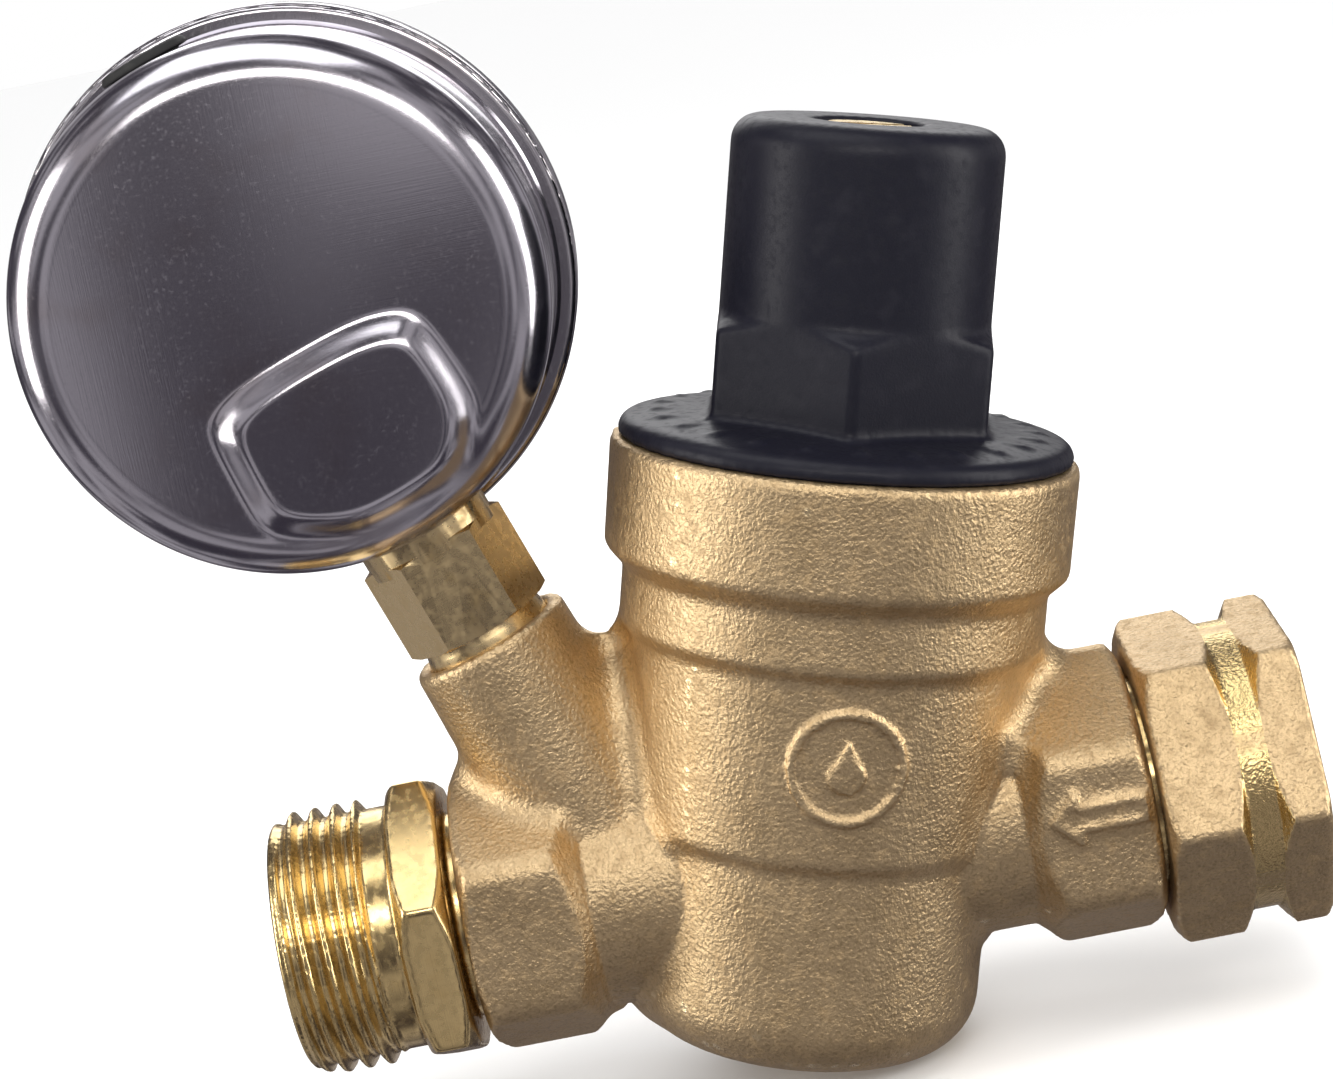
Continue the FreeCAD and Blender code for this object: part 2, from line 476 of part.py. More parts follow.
revolve(bonnet, "SkirtRoom", "V", [
    ("0", "bonnet_seat_z"), ("skirt_room_r", "bonnet_seat_z"), ("skirt_room_r", "skirt_room_z-5"),
    ("spring_room_r", "skirt_room_z"), ("spring_room_r", "spring_room_z"),
    ("0", "spring_room_z")], kind="Groove")
tick = sketch_on(bonnet, "Tick", "XY", lift="flange_edge_z-0.2")
draw_outline(tick, [
    ("-tick_wide/2", "-tick_r-tick_long/2"), ("tick_wide/2", "-tick_r-tick_long/2"),
    ("tick_wide/2", "-tick_r+tick_long/2"), ("-tick_wide/2", "-tick_r+tick_long/2")])
tick_pad = extrude(bonnet, "TickPad", tick, "tick_tall+0.85")
tick_ring = bonnet.newObject("PartDesign::PolarPattern", "TickRing")
tick_ring.Originals = [tick_pad]
tick_ring.Axis = ([item for item in bonnet.Origin.OriginFeatures if item.Role == "Z_Axis"][0], [""])
tick_ring.Angle = 360
tick_ring.Occurrences = 24
bonnet.Tip = tick_ring
doc.recompute()

insert = new_body("bonnet_insert", "bonnet")
revolve(insert, "Bush", "V", [
    ("screw_hole_r", "spring_room_z"), ("insert_r-fit_gap", "spring_room_z"),
    ("insert_r-fit_gap", "spring_room_z+3"), ("insert_r-0.8", "spring_room_z+3.8"),
    ("insert_r-0.8", "insert_top_z-3.8"), ("insert_r-fit_gap", "insert_top_z-3"),
    ("insert_r-fit_gap", "insert_top_z"), ("screw_hole_r", "insert_top_z")])

# ---------------------------------------------------------------- adjusting screw and springs
screw = new_body("adjusting_screw", "bonnet")
thread = [("0", "screw_end_z"), ("screw_r-1.4", "screw_end_z"), ("screw_r-0.2", "screw_end_z+1.2")]
for turn_number in range(12):
    foot = "screw_end_z+%.2f" % (1.5 + 1.5 * turn_number)
    thread += [("screw_r-0.75", foot), ("screw_r", foot + "+0.6"), ("screw_r", foot + "+0.9")]
revolve(screw, "Shaft", "V", thread + [
    ("screw_r", "screw_top_z-screw_bevel"), ("screw_r-screw_bevel", "screw_top_z"),
    ("0", "screw_top_z")])
slot = sketch_on(screw, "Slot", "XY", lift="screw_top_z-slot_deep", turn="20")
draw_outline(slot, [
    ("-screw_r-1", "-slot_wide/2"), ("screw_r+1", "-slot_wide/2"), ("screw_r+1", "slot_wide/2"),
    ("-screw_r-1", "slot_wide/2")])
extrude(screw, "SlotCut", slot, "slot_deep+1", kind="Pocket", backwards=True)

plate = new_body("spring_plate", "bonnet")
revolve(plate, "Disc", "V", [
    ("0", "plate_z-plate_spigot"), ("plate_spigot_r-0.8", "plate_z-plate_spigot"),
    ("plate_spigot_r", "plate_z-plate_spigot+0.8"), ("plate_spigot_r", "plate_z"),
    ("plate_r", "plate_z"), ("plate_r", "screw_end_z-0.8"), ("plate_r-0.8", "screw_end_z"),
    ("0", "screw_end_z")])


def coil_spring(low, high, mean_r, wire_r, turns):
    """Compression spring about Z with its end coils ground flat."""
    pitch = (high - low - 2 * wire_r + 1.2 * wire_r) / turns
    helix = Part.makeHelix(pitch, pitch * turns, mean_r)
    start = FreeCAD.Vector(mean_r, 0, 0)
    section = Part.Wire(Part.makeCircle(wire_r, start, TURN_Y))
    wire = Part.Wire(helix.Edges).makePipeShell([section], True, True)
    wire.translate(FreeCAD.Vector(0, 0, low + wire_r - 0.6 * wire_r))
    return wire.common(Part.makeCylinder(mean_r + 2 * wire_r, high - low, FreeCAD.Vector(0, 0, low)))


new_shape("main_spring", "bonnet", coil_spring(
    size("piston_cup_z"), size("plate_z"), size("spring_mean_r"), size("spring_wire_r"),
    size("spring_turns")))

# ---------------------------------------------------------------- piston, seat and valve disc
piston = new_body("piston", "bonnet")
revolve(piston, "Turned", "V", [
    ("0", "stem_end_z"), ("stem_r-0.6", "stem_end_z"), ("stem_r", "stem_end_z+0.6"),
    ("stem_r", "piston_stop_z+1.5"), ("stem_r+1.5", "piston_stop_z"),
    ("piston_r-1", "piston_stop_z"), ("piston_r", "piston_stop_z+1"),
    ("piston_r", "ring_groove_z"), ("ring_groove_r", "ring_groove_z"),
    ("ring_groove_r", "ring_groove_z+ring_tall"), ("piston_r", "ring_groove_z+ring_tall"),
    ("piston_r", "piston_top_z-0.8"), ("piston_r-0.8", "piston_top_z"),
    ("piston_cup_r", "piston_top_z"), ("piston_cup_r", "piston_cup_z"), ("0", "piston_cup_z")])

ring = new_body("piston_ring", "bonnet")
revolve(ring, "Ring", "V", [
    ("ring_groove_r", "ring_groove_z+0.5"), ("ring_groove_r+0.7", "ring_groove_z"),
    ("ring_r-0.7", "ring_groove_z"), ("ring_r", "ring_groove_z+0.7"),
    ("ring_r", "ring_groove_z+ring_tall-0.7"), ("ring_r-0.7", "ring_groove_z+ring_tall"),
    ("ring_groove_r+0.7", "ring_groove_z+ring_tall"), ("ring_groove_r", "ring_groove_z+ring_tall-0.5")])

seat = new_body("seat_insert", "bonnet")
revolve(seat, "Turned", "V", [
    ("seat_hole_r", "seat_base_z-seat_lip"), ("seat_lip_r", "seat_base_z-seat_lip"),
    ("seat_lip_r+0.5", "seat_base_z"), ("seat_bore_r-fit_gap", "seat_base_z"),
    ("seat_bore_r-fit_gap", "upper_room_z"), ("seat_bore_r+1.8", "upper_room_z"),
    ("seat_bore_r+1.8", "upper_room_z+1.6"), ("seat_hole_r+0.8", "upper_room_z+1.6"),
    ("seat_hole_r", "upper_room_z+0.8")])

holder = new_body("disc_holder", "bonnet")
revolve(holder, "Cup", "V", [
    ("stem_r+fit_gap", "disc_end_z"), ("disc_r-0.6", "disc_end_z"), ("disc_r-0.1", "disc_end_z+0.6"),
    ("disc_r-0.1", "rubber_top_z-0.4"), ("rubber_r+fit_gap", "rubber_top_z-0.4"),
    ("rubber_r+fit_gap", "rubber_top_z-rubber_deep"), ("stem_r+fit_gap", "rubber_top_z-rubber_deep")])

rubber = new_body("seat_disc", "bonnet")
revolve(rubber, "Disc", "V", [
    ("stem_r+fit_gap", "rubber_top_z-rubber_deep"), ("rubber_r", "rubber_top_z-rubber_deep"),
    ("rubber_r", "rubber_top_z"), ("stem_r+fit_gap", "rubber_top_z")])

keeper = new_body("disc_nut", "bonnet")
hex_pad(keeper, "Hex", "XY", "keeper_end_z", "keeper_flats+1.6", "0", "disc_end_z-keeper_end_z")
revolve(keeper, "Thread", "V", [
    ("0", "keeper_end_z-1"), ("stem_r+fit_gap", "keeper_end_z-1"),
    ("stem_r+fit_gap", "disc_end_z+1"), ("0", "disc_end_z+1")], kind="Groove")

# ---------------------------------------------------------------- gauge socket
socket = new_body("gauge_socket", "stem")
hex_pad(socket, "Hex", "XY", "socket_hex_z", "socket_hex_flats", "socket_hex_turn",
        "socket_hex_end_z-socket_hex_z")
for name, face, way in (("Low", "socket_hex_z", "+"), ("High", "socket_hex_end_z", "-")):
    revolve(socket, name + "Bevel", "V", [
        ("socket_hex_flats/2+0.3", face), ("socket_hex_flats/2+3", face),
        ("socket_hex_flats/2+3", "%s%s1.2" % (face, way))], kind="Groove")
revolve(socket, "Stem", "V", [
    ("0", "gauge_socket_z+0.3"), ("stem_thread_r-0.7", "gauge_socket_z+0.3"),
    ("stem_thread_r", "gauge_socket_z+1"), ("stem_thread_r", "gauge_boss_top"),
    ("stem_thread_r-0.3", "socket_hex_z"), ("stem_thread_r-0.3", "socket_hex_z+1"),
    ("0", "socket_hex_z+1")])
revolve(socket, "Collar", "V", [
    ("0", "socket_hex_end_z-1"), ("collar_r", "socket_hex_end_z-1"),
    ("collar_r", "collar_end_z"), ("0", "collar_end_z")])
block = sketch_on(socket, "Block", "XY", lift="collar_end_z-0.5")
draw_outline(block, [
    ("-block_wide/2", "-block_deep/2-0.5"), ("block_wide/2", "-block_deep/2-0.5"),
    ("block_wide/2", "block_deep/2-0.5"), ("-block_wide/2", "block_deep/2-0.5")])
extrude(socket, "BlockPad", block, "block_end_z-collar_end_z+0.5")
tongue = sketch_on(socket, "Tongue", "XY", lift="block_end_z-1")
draw_outline(tongue, [
    ("-block_wide/2", "-block_deep/2-0.5"), ("block_wide/2", "-block_deep/2-0.5"),
    ("block_wide/2", "tongue_front"), ("-block_wide/2", "tongue_front")])
extrude(socket, "TonguePad", tongue, "tongue_end_z-block_end_z+1")
holes = sketch_on(socket, "FrameHoles", "XZ", lift="0")
for side in ("-1", "1"):
    draw_circle(holes, "%s*frame_screw_x" % side, "dial_rise+frame_screw_y", "frame_tap_r")
extrude(socket, "FrameTaps", holes, "4.4", kind="Pocket", backwards=True)
revolve(socket, "PressurePort", "V", [
    ("0", "gauge_socket_z"), ("socket_bore_r", "gauge_socket_z"),
    ("socket_bore_r", "block_end_z-3"), ("0", "block_end_z-2")], kind="Groove")

# ---------------------------------------------------------------- gauge case
case = new_body("gauge_case", "dial")
cup = revolve(case, "Cup", "V", [
    ("0", "case_back-case_dome"), ("case_r*0.45", "case_back-case_dome*0.8"),
    ("case_r-case_round", "case_back"), ("case_r", "case_back+0.2"),
    ("case_r", "case_lip_z"), ("case_lip_r", "case_lip_z"), ("case_lip_r", "case_lip_z+case_wall"),
    ("case_r-case_wall", "case_lip_z+case_wall"), ("case_r-case_wall", "case_back+1"),
    ("case_r-case_round", "case_back+case_wall"), ("0", "case_back+case_wall-case_dome")])
cup = round_edges(case, "Shoulder", cup, "case_round", lambda edge, middle: (
    hasattr(edge.Curve, "Radius") and abs(edge.Curve.Radius - size("case_r")) < 0.01
    and middle.z < size("case_back+1")))
# stamped swelling in the back wall beside the stem
BUMP = (("-7.8", "-5.5"), ("7.8", "-5.5"), ("10.4", "-7.3"), ("11.0", "-17.2"), ("6.2", "-22.6"),
        ("-6.2", "-22.6"), ("-11.0", "-17.2"), ("-10.4", "-7.3"))
bump = sketch_on(case, "Bump", "XY", lift="case_back-bump_tall")
draw_outline(bump, [("%s*0.86" % x, "(%s+14)*0.86-14" % y) for x, y in BUMP])
root = sketch_on(case, "BumpRoot", "XY", lift="case_back+0.3")
draw_outline(root, BUMP)
swell = case.newObject("PartDesign::AdditiveLoft", "Swelling")
swell.Profile = bump
swell.Sections = [root]
doc.recompute()
hollow = sketch_on(case, "BumpHollow", "XY", lift="case_back+case_wall+0.4")
draw_outline(hollow, [("%s*0.78" % x, "(%s+14)*0.78-14" % y) for x, y in BUMP])
extrude(case, "BumpRoom", hollow, "bump_tall+0.4", kind="Pocket")
neck_hole = sketch_on(case, "NeckHole", "XZ", lift="0")
draw_circle(neck_hole, "0", "0", "collar_r+fit_gap")
extrude(case, "NeckCut", neck_hole, "case_r+3", kind="Pocket", backwards=True)
plug_hole = sketch_on(case, "PlugHole", "XZ", lift="0")
draw_circle(plug_hole, "0", "0", "plug_hole_r")
extrude(case, "PlugCut", plug_hole, "case_r+3", kind="Pocket")

plug = new_body("vent_plug", "dial")
plug_points = [
    ("0", "case_r-2.4"), ("plug_hole_r-0.5", "case_r-2.4"), ("plug_hole_r+0.5", "case_r-1.7"),
    ("plug_hole_r+0.5", "case_r-1.2"), ("plug_hole_r-0.05", "case_r-1.2"),
    ("plug_hole_r-0.05", "case_r+0.05"), ("plug_hole_r+1.2", "case_r+0.05"),
    ("plug_hole_r+0.8", "case_r+0.9"), ("0", "case_r+1.2")]
plug_sketch = sketch_on(plug, "PlugOutline", "XY")
draw_outline(plug_sketch, plug_points)
plug_turn = plug.newObject("PartDesign::Revolution", "Plug")
plug_turn.Profile = plug_sketch
plug_turn.ReferenceAxis = (plug_sketch, ["V_Axis"])
plug_turn.Angle = 360
doc.recompute()

bezel = new_body("gauge_bezel", "dial")
revolve(bezel, "Ring", "V", [
    ("case_r+0.15", "bezel_back_z"), ("bezel_r-0.5", "bezel_back_z"), ("bezel_r", "bezel_back_z+0.5"),
    ("bezel_r", "bezel_front_z-1.2"), ("bezel_r-1.2", "bezel_front_z"),
    ("window_r+0.4", "bezel_front_z"), ("window_r", "bezel_front_z-0.5"),
    ("window_r", "lens_z+lens_thick"), ("case_lip_r+0.05", "lens_z+lens_thick"),
    ("case_lip_r+0.05", "case_lip_z"), ("case_r+0.15", "case_lip_z")])

lens = new_body("gauge_lens", "dial")
revolve(lens, "Disc", "V", [
    ("0", "lens_z"), ("lens_r", "lens_z"), ("lens_r", "lens_z+lens_thick"),
    ("0", "lens_z+lens_thick")])

gasket = new_body("lens_gasket", "dial")
revolve(gasket, "Ring", "V", [
    ("gasket_r", "case_lip_z+case_wall"), ("lens_r", "case_lip_z+case_wall"),
    ("lens_r", "lens_z"), ("gasket_r", "lens_z")])

dial = new_body("gauge_dial", "dial")
revolve(dial, "Disc", "V", [
    ("1.2", "dial_z"), ("dial_r", "dial_z"), ("dial_r", "dial_z+dial_thick"),
    ("1.2", "dial_z+dial_thick")])
screw_holes = sketch_on(dial, "ScrewHoles", "XY", lift="dial_z-1")
for side in ("-1", "1"):
    draw_circle(screw_holes, "%s*dial_screw_x" % side, "dial_screw_y", "0.65")
extrude(dial, "ScrewCut", screw_holes, "dial_thick+3", kind="Pocket", backwards=True)

dial_screws = new_body("dial_screws", "dial")
for number, side in enumerate(("-1", "1")):
    head = sketch_on(dial_screws, "Head%d" % number, "XY", lift="dial_z+dial_thick")
    draw_circle(head, "%s*dial_screw_x" % side, "dial_screw_y", "1.1")
    extrude(dial_screws, "HeadPad%d" % number, head, "0.7")
    shank = sketch_on(dial_screws, "Shank%d" % number, "XY", lift="dial_z-1.6")
    draw_circle(shank, "%s*dial_screw_x" % side, "dial_screw_y", "0.55")
    extrude(dial_screws, "ShankPad%d" % number, shank, "dial_thick+2")

pointer = new_body("gauge_pointer", "dial")
needle = sketch_on(pointer, "Needle", "XY", lift="pointer_z", turn="135")
draw_outline(needle, [
    ("-1.1", "-pointer_tail"), ("1.1", "-pointer_tail"), ("0.7", "0"), ("0.15", "pointer_long"),
    ("-0.15", "pointer_long"), ("-0.7", "0")])
extrude(pointer, "NeedlePad", needle, "0.35")
revolve(pointer, "Hub", "V", [
    ("arbor_r", "pointer_z-0.4"), ("pointer_hub_r", "pointer_z-0.4"), ("pointer_hub_r", "pointer_z+0.6"),
    ("pointer_hub_r-0.6", "pointer_z+1.1"), ("arbor_r", "pointer_z+1.1")])
revolve(pointer, "HubHole", "V", [
    ("0", "pointer_z-1"), ("arbor_r", "pointer_z-1"), ("arbor_r", "pointer_z+2"),
    ("0", "pointer_z+2")], kind="Groove")

# ---------------------------------------------------------------- gauge movement


def gear_teeth(teeth, module, gap):
    """Corners of one straight-sided tooth: angle and radius pairs about its middle."""
    pitch_r = teeth * module / 2
    half = math.pi * module / 4 - gap
    return [(-(half + 0.36 * module) / pitch_r, pitch_r - 0.95 * module),
            (-(half - 0.30 * module) / pitch_r, pitch_r + 0.8 * module),
            ((half - 0.30 * module) / pitch_r, pitch_r + 0.8 * module),
            ((half + 0.36 * module) / pitch_r, pitch_r - 0.95 * module)]


def polar(radius, angle):
    """Point in the dial's plane at an angle anticlockwise from its X axis."""
    return FreeCAD.Vector(radius * math.cos(angle), radius * math.sin(angle), 0)


def toothed_face(teeth, module, first_angle, count):
    """Points along a run of teeth, the first tooth centred on an angle."""
    step = 2 * math.pi / teeth
    return [polar(radius, first_angle + index * step + angle)
            for index in range(count) for angle, radius in gear_teeth(teeth, module, 0.03)]


module = size("tooth_module")
pinion_teeth = int(size("pinion_teeth"))
sector_teeth = int(size("sector_teeth"))
centres = size("gear_centres")
gear_thick = size("gear_thick")
lift = FreeCAD.Vector(0, 0, size("gear_z"))

# pinion below the dial's centre line meshes with a sector that swings about a lower pivot
pinion_edge = toothed_face(pinion_teeth, module, -math.pi / 2, pinion_teeth)
pinion_edge = [point + lift for point in pinion_edge]
pinion_disc = Part.Face(Part.makePolygon(pinion_edge + pinion_edge[:1]))
arbor_shape = pinion_disc.extrude(FreeCAD.Vector(0, 0, gear_thick + 0.6))
for radius, low, high in (
        (size("arbor_r"), size("frame_back-0.6"), size("pointer_z+1.1")),
        (size("arbor_r+0.25"), size("frame_back+frame_thick+0.1"), size("gear_z"))):
    arbor_shape = arbor_shape.fuse(
        Part.makeCylinder(radius, high - low, FreeCAD.Vector(0, 0, low)))
new_shape("pointer_arbor", "dial", arbor_shape.removeSplitter())

pivot = FreeCAD.Vector(0, -centres, 0)
sector_step = 2 * math.pi / sector_teeth
swing_teeth = 10
first = math.pi / 2 + sector_step / 2 - (swing_teeth - 2) * sector_step
sector_edge = toothed_face(sector_teeth, module, first, swing_teeth)
sector_edge = [polar(3.0, first - 0.2)] + sector_edge + [
    polar(3.0, first + swing_teeth * sector_step + 0.1)]
sector_edge = [point + pivot + lift for point in sector_edge]
sector_shape = Part.Face(Part.makePolygon(sector_edge + sector_edge[:1]))
sector_shape = sector_shape.extrude(FreeCAD.Vector(0, 0, gear_thick))
tail_angle = math.radians(size("tail_angle"))
tail_end = pivot + lift + polar(size("tail_long"), tail_angle)
tail_arm = Part.makeBox(size("tail_long"), 1.8, gear_thick, FreeCAD.Vector(0, -0.9, 0))
tail_arm.rotate(FreeCAD.Vector(0, 0, 0), TURN_Z, size("tail_angle"))
tail_arm.translate(pivot + lift)
staff_foot = pivot + FreeCAD.Vector(0, 0, size("frame_back+0.1"))
for piece in (
        Part.makeCylinder(3.2, gear_thick, pivot + lift), tail_arm,
        Part.makeCylinder(1.1, gear_thick, tail_end),
        Part.makeCylinder(0.5, gear_thick + 1.0, tail_end),
        Part.makeCylinder(0.6, size("plate_gap+2*frame_thick"), staff_foot)):
    sector_shape = sector_shape.fuse(piece)
new_shape("sector_gear", "dial", sector_shape.removeSplitter())

# two plates on pillars carry the arbor and the sector's staff
frame_body = new_body("movement_frame", "dial")
PLATE_EDGE = (
    ("-frame_half", "frame_top_y"), ("-frame_half", "-12.6"), ("-frame_half/5", "frame_low_y"),
    ("frame_half", "frame_low_y"), ("frame_half", "frame_top_y"))
PILLARS = (("-5.4", "2"), ("5.4", "2"), ("-5.2", "-12.6"), ("5.7", "-15.5"))
back_plate = sketch_on(frame_body, "BackPlate", "XY", lift="frame_back")
draw_outline(back_plate, PLATE_EDGE)
extrude(frame_body, "BackPlatePad", back_plate, "frame_thick")
pillars = sketch_on(frame_body, "Pillars", "XY", lift="frame_back+frame_thick-0.2")
for x, y in PILLARS:
    draw_circle(pillars, x, y, "pillar_r")
extrude(frame_body, "PillarPads", pillars, "plate_gap+0.4")
front_plate = sketch_on(frame_body, "FrontPlate", "XY", lift="frame_front")
draw_outline(front_plate, PLATE_EDGE)
extrude(frame_body, "FrontPlatePad", front_plate, "frame_thick")
posts = sketch_on(frame_body, "DialPosts", "XY", lift="frame_front+0.2")
taps = sketch_on(frame_body, "DialTaps", "XY", lift="dial_z-1.7")
for side in ("-1", "1"):
    draw_circle(posts, "%s*dial_screw_x" % side, "dial_screw_y", "0.95")
    draw_circle(taps, "%s*dial_screw_x" % side, "dial_screw_y", "0.57")
extrude(frame_body, "DialPostPads", posts, "dial_z-frame_front-0.2")
extrude(frame_body, "DialTapCuts", taps, "2", kind="Pocket", backwards=True)
bearings = sketch_on(frame_body, "Bearings", "XY", lift="frame_back-1")
draw_circle(bearings, "0", "0", "arbor_r+run_gap")
draw_circle(bearings, "0", "-gear_centres", "arbor_r+run_gap")
extrude(frame_body, "BearingCuts", bearings, "plate_gap+4", kind="Pocket", backwards=True)
fixings = sketch_on(frame_body, "Fixings", "XY", lift="frame_back-1")
for side in ("-1", "1"):
    draw_circle(fixings, "%s*frame_screw_x" % side, "frame_screw_y", "frame_tap_r")
extrude(frame_body, "FixingCuts", fixings, "2.2", kind="Pocket", backwards=True)

frame_screws = new_body("movement_screws", "dial")
for number, side in enumerate(("-1", "1")):
    centre_x = "%s*frame_screw_x" % side
    head = sketch_on(frame_screws, "Head%d" % number, "XY", lift="frame_back+frame_thick")
    draw_circle(head, centre_x, "frame_screw_y", "1.4")
    extrude(frame_screws, "HeadPad%d" % number, head, "0.8")
    shank = sketch_on(frame_screws, "Shank%d" % number, "XY", lift="frame_back-2.4")
    draw_circle(shank, centre_x, "frame_screw_y", "frame_tap_r-0.03")
    extrude(frame_screws, "ShankPad%d" % number, shank, "frame_thick+2.5")
    nick = sketch_on(frame_screws, "Nick%d" % number, "XY", lift="frame_back+frame_thick+0.4")
    draw_outline(nick, [
        (centre_x + "-1.6", "frame_screw_y-0.2"), (centre_x + "+1.6", "frame_screw_y-0.2"),
        (centre_x + "+1.6", "frame_screw_y+0.2"), (centre_x + "-1.6", "frame_screw_y+0.2")])
    extrude(frame_screws, "NickCut%d" % number, nick, "1", kind="Pocket", backwards=True)


def flat_section(width, thick):
    """Flattened round section standing in the XZ plane at the tube's radius."""
    half = (width - thick) / 2
    centre = FreeCAD.Vector(size("tube_r"), 0, size("tube_z"))
    straight = FreeCAD.Vector(0, 0, half)
    side = FreeCAD.Vector(thick / 2, 0, 0)
    crown = FreeCAD.Vector(0, 0, thick / 2)
    edges = [
        Part.LineSegment(centre + side - straight, centre + side + straight),
        Part.Arc(centre + side + straight, centre + straight + crown, centre - side + straight),
        Part.LineSegment(centre - side + straight, centre - side - straight),
        Part.Arc(centre - side - straight, centre - straight - crown, centre + side - straight)]
    return Part.Face(Part.Wire([edge.toShape() for edge in edges]))


# Bourdon tube: a flattened tube curled round the movement, brazed into the socket's block
wall = size("tube_wall")
sweep = size("tube_sweep")
tube_shape = flat_section(size("tube_wide"), size("tube_thick")).revolve(
    FreeCAD.Vector(0, 0, 0), TURN_Z, -sweep)
bore = flat_section(size("tube_wide") - 2 * wall, size("tube_thick") - 2 * wall).revolve(
    FreeCAD.Vector(0, 0, 0), TURN_Z, -(sweep - 2.5))
tube_shape = tube_shape.cut(bore)
tube_shape.rotate(FreeCAD.Vector(0, 0, 0), TURN_Z, size("tube_start"))
lug_low = size("gear_z+0.1")
link_x = size("link_to_x")
link_y = size("link_to_y")
travel = size("link_travel")
lug = Part.makeBox(6.6, 7.0, 0.8, FreeCAD.Vector(link_x - 2.4, link_y - 1.8, lug_low))
lug_slot = Part.makeBox(1.8, travel + 2.0, 3, FreeCAD.Vector(link_x - 0.9, link_y - 0.9, 0))
tube_shape = tube_shape.fuse(lug.cut(lug_slot)).removeSplitter()
new_shape("bourdon_tube", "dial", tube_shape)

# link from the tube's tip to the sector's tail
link = new_body("tube_link", "dial")
bar = sketch_on(link, "Bar", "XY", lift="link_z")
draw_outline(bar, [
    ("link_from_x", "link_from_y-link_half"), ("link_to_x", "link_to_y-link_half"),
    ("link_to_x", "link_to_y+link_half"), ("link_from_x", "link_from_y+link_half")])
extrude(link, "BarPad", bar, "link_thick")
for name, x, y in (("SectorEye", "link_from_x", "link_from_y"), ("TubeEye", "link_to_x", "link_to_y")):
    eye = sketch_on(link, name, "XY", lift="link_z")
    draw_circle(eye, x, y, "eye_r")
    extrude(link, name + "Pad", eye, "link_thick")
eye_hole = sketch_on(link, "EyeHole", "XY", lift="link_z-1")
draw_circle(eye_hole, "link_from_x", "link_from_y", "0.8")
extrude(link, "EyeCut", eye_hole, "link_thick+2", kind="Pocket", backwards=True)
link_pin = sketch_on(link, "TubePin", "XY", lift="gear_z+0.1")
draw_circle(link_pin, "link_to_x", "link_to_y", "0.5")
extrude(link, "TubePinPad", link_pin, "link_z-gear_z+0.1")

# ---------------------------------------------------------------- checks and export
doc.recompute()
failed = [item.Name for item in doc.Objects
          if "Invalid" in item.State or "Error" in item.State]
if failed:
    raise RuntimeError("these objects failed to build: " + ", ".join(failed))
for part in SUBPARTS:
    shape = part.Shape
    if shape.isNull() or not shape.isValid() or not shape.Solids:
        raise RuntimeError(part.Label + " has no valid solid")
os.makedirs("parts", exist_ok=True)
for part in SUBPARTS:
    part.Shape.exportStep("parts/%s.step" % part.Label)
    print("%-18s %9.1f mm3  %d solid" % (part.Label, part.Shape.Volume, len(part.Shape.Solids)))
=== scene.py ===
import json
import math

import bmesh
import bpy
import numpy as np
import openvdb
from mathutils import Matrix, Vector


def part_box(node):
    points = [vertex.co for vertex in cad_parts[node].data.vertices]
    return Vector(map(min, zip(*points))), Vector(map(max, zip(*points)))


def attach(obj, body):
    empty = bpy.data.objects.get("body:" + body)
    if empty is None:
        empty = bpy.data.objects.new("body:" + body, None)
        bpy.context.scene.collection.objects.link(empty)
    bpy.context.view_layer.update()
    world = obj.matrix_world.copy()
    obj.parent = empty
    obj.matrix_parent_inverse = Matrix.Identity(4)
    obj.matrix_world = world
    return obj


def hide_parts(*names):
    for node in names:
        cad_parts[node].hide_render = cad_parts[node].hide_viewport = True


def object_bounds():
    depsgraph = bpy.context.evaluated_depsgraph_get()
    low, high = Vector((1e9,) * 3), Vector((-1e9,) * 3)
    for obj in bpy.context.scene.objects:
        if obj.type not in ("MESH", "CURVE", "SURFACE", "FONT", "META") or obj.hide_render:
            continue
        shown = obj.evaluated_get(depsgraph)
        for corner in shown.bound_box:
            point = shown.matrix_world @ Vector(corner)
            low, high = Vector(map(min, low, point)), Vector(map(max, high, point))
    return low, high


# Looks of the hose pressure regulator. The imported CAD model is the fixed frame: +X along the pipe
# towards the supply, +Z up, +Y out of the dial's glass. Shape work is done in millimetres and
# written to the meshes in metres.

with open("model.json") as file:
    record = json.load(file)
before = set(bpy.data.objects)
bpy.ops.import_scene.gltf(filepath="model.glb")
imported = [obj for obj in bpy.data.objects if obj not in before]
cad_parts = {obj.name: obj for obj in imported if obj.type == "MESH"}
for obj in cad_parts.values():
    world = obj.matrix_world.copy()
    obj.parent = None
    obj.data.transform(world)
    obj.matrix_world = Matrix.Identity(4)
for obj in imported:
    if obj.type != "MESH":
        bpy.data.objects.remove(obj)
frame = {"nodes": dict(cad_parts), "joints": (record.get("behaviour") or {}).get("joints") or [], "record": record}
CAD_BOX = [list(corner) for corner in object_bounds()]
NODES = frame["nodes"]
JOINTS = {joint["name"]: joint for joint in frame["joints"]}
MM = 0.001

# ------------------------------------------------------------------ frames read from the joints
BONNET_AXIS = Vector(JOINTS["plate_slide"]["axis"]).normalized()
CROSSING = Vector(JOINTS["screw_turn"]["pos_m"]) / MM
STEM_AXIS = Vector(JOINTS["link_pull"]["axis"]).normalized()
DIAL_CENTRE = Vector(JOINTS["pointer_spin"]["pos_m"]) / MM
STEM_FOOT = DIAL_CENTRE - STEM_AXIS * (DIAL_CENTRE.z / STEM_AXIS.z)
ROW_X, ROW_Y, ROW_Z = Vector((1, 0, 0)), Vector((0, 1, 0)), Vector((0, 0, 1))


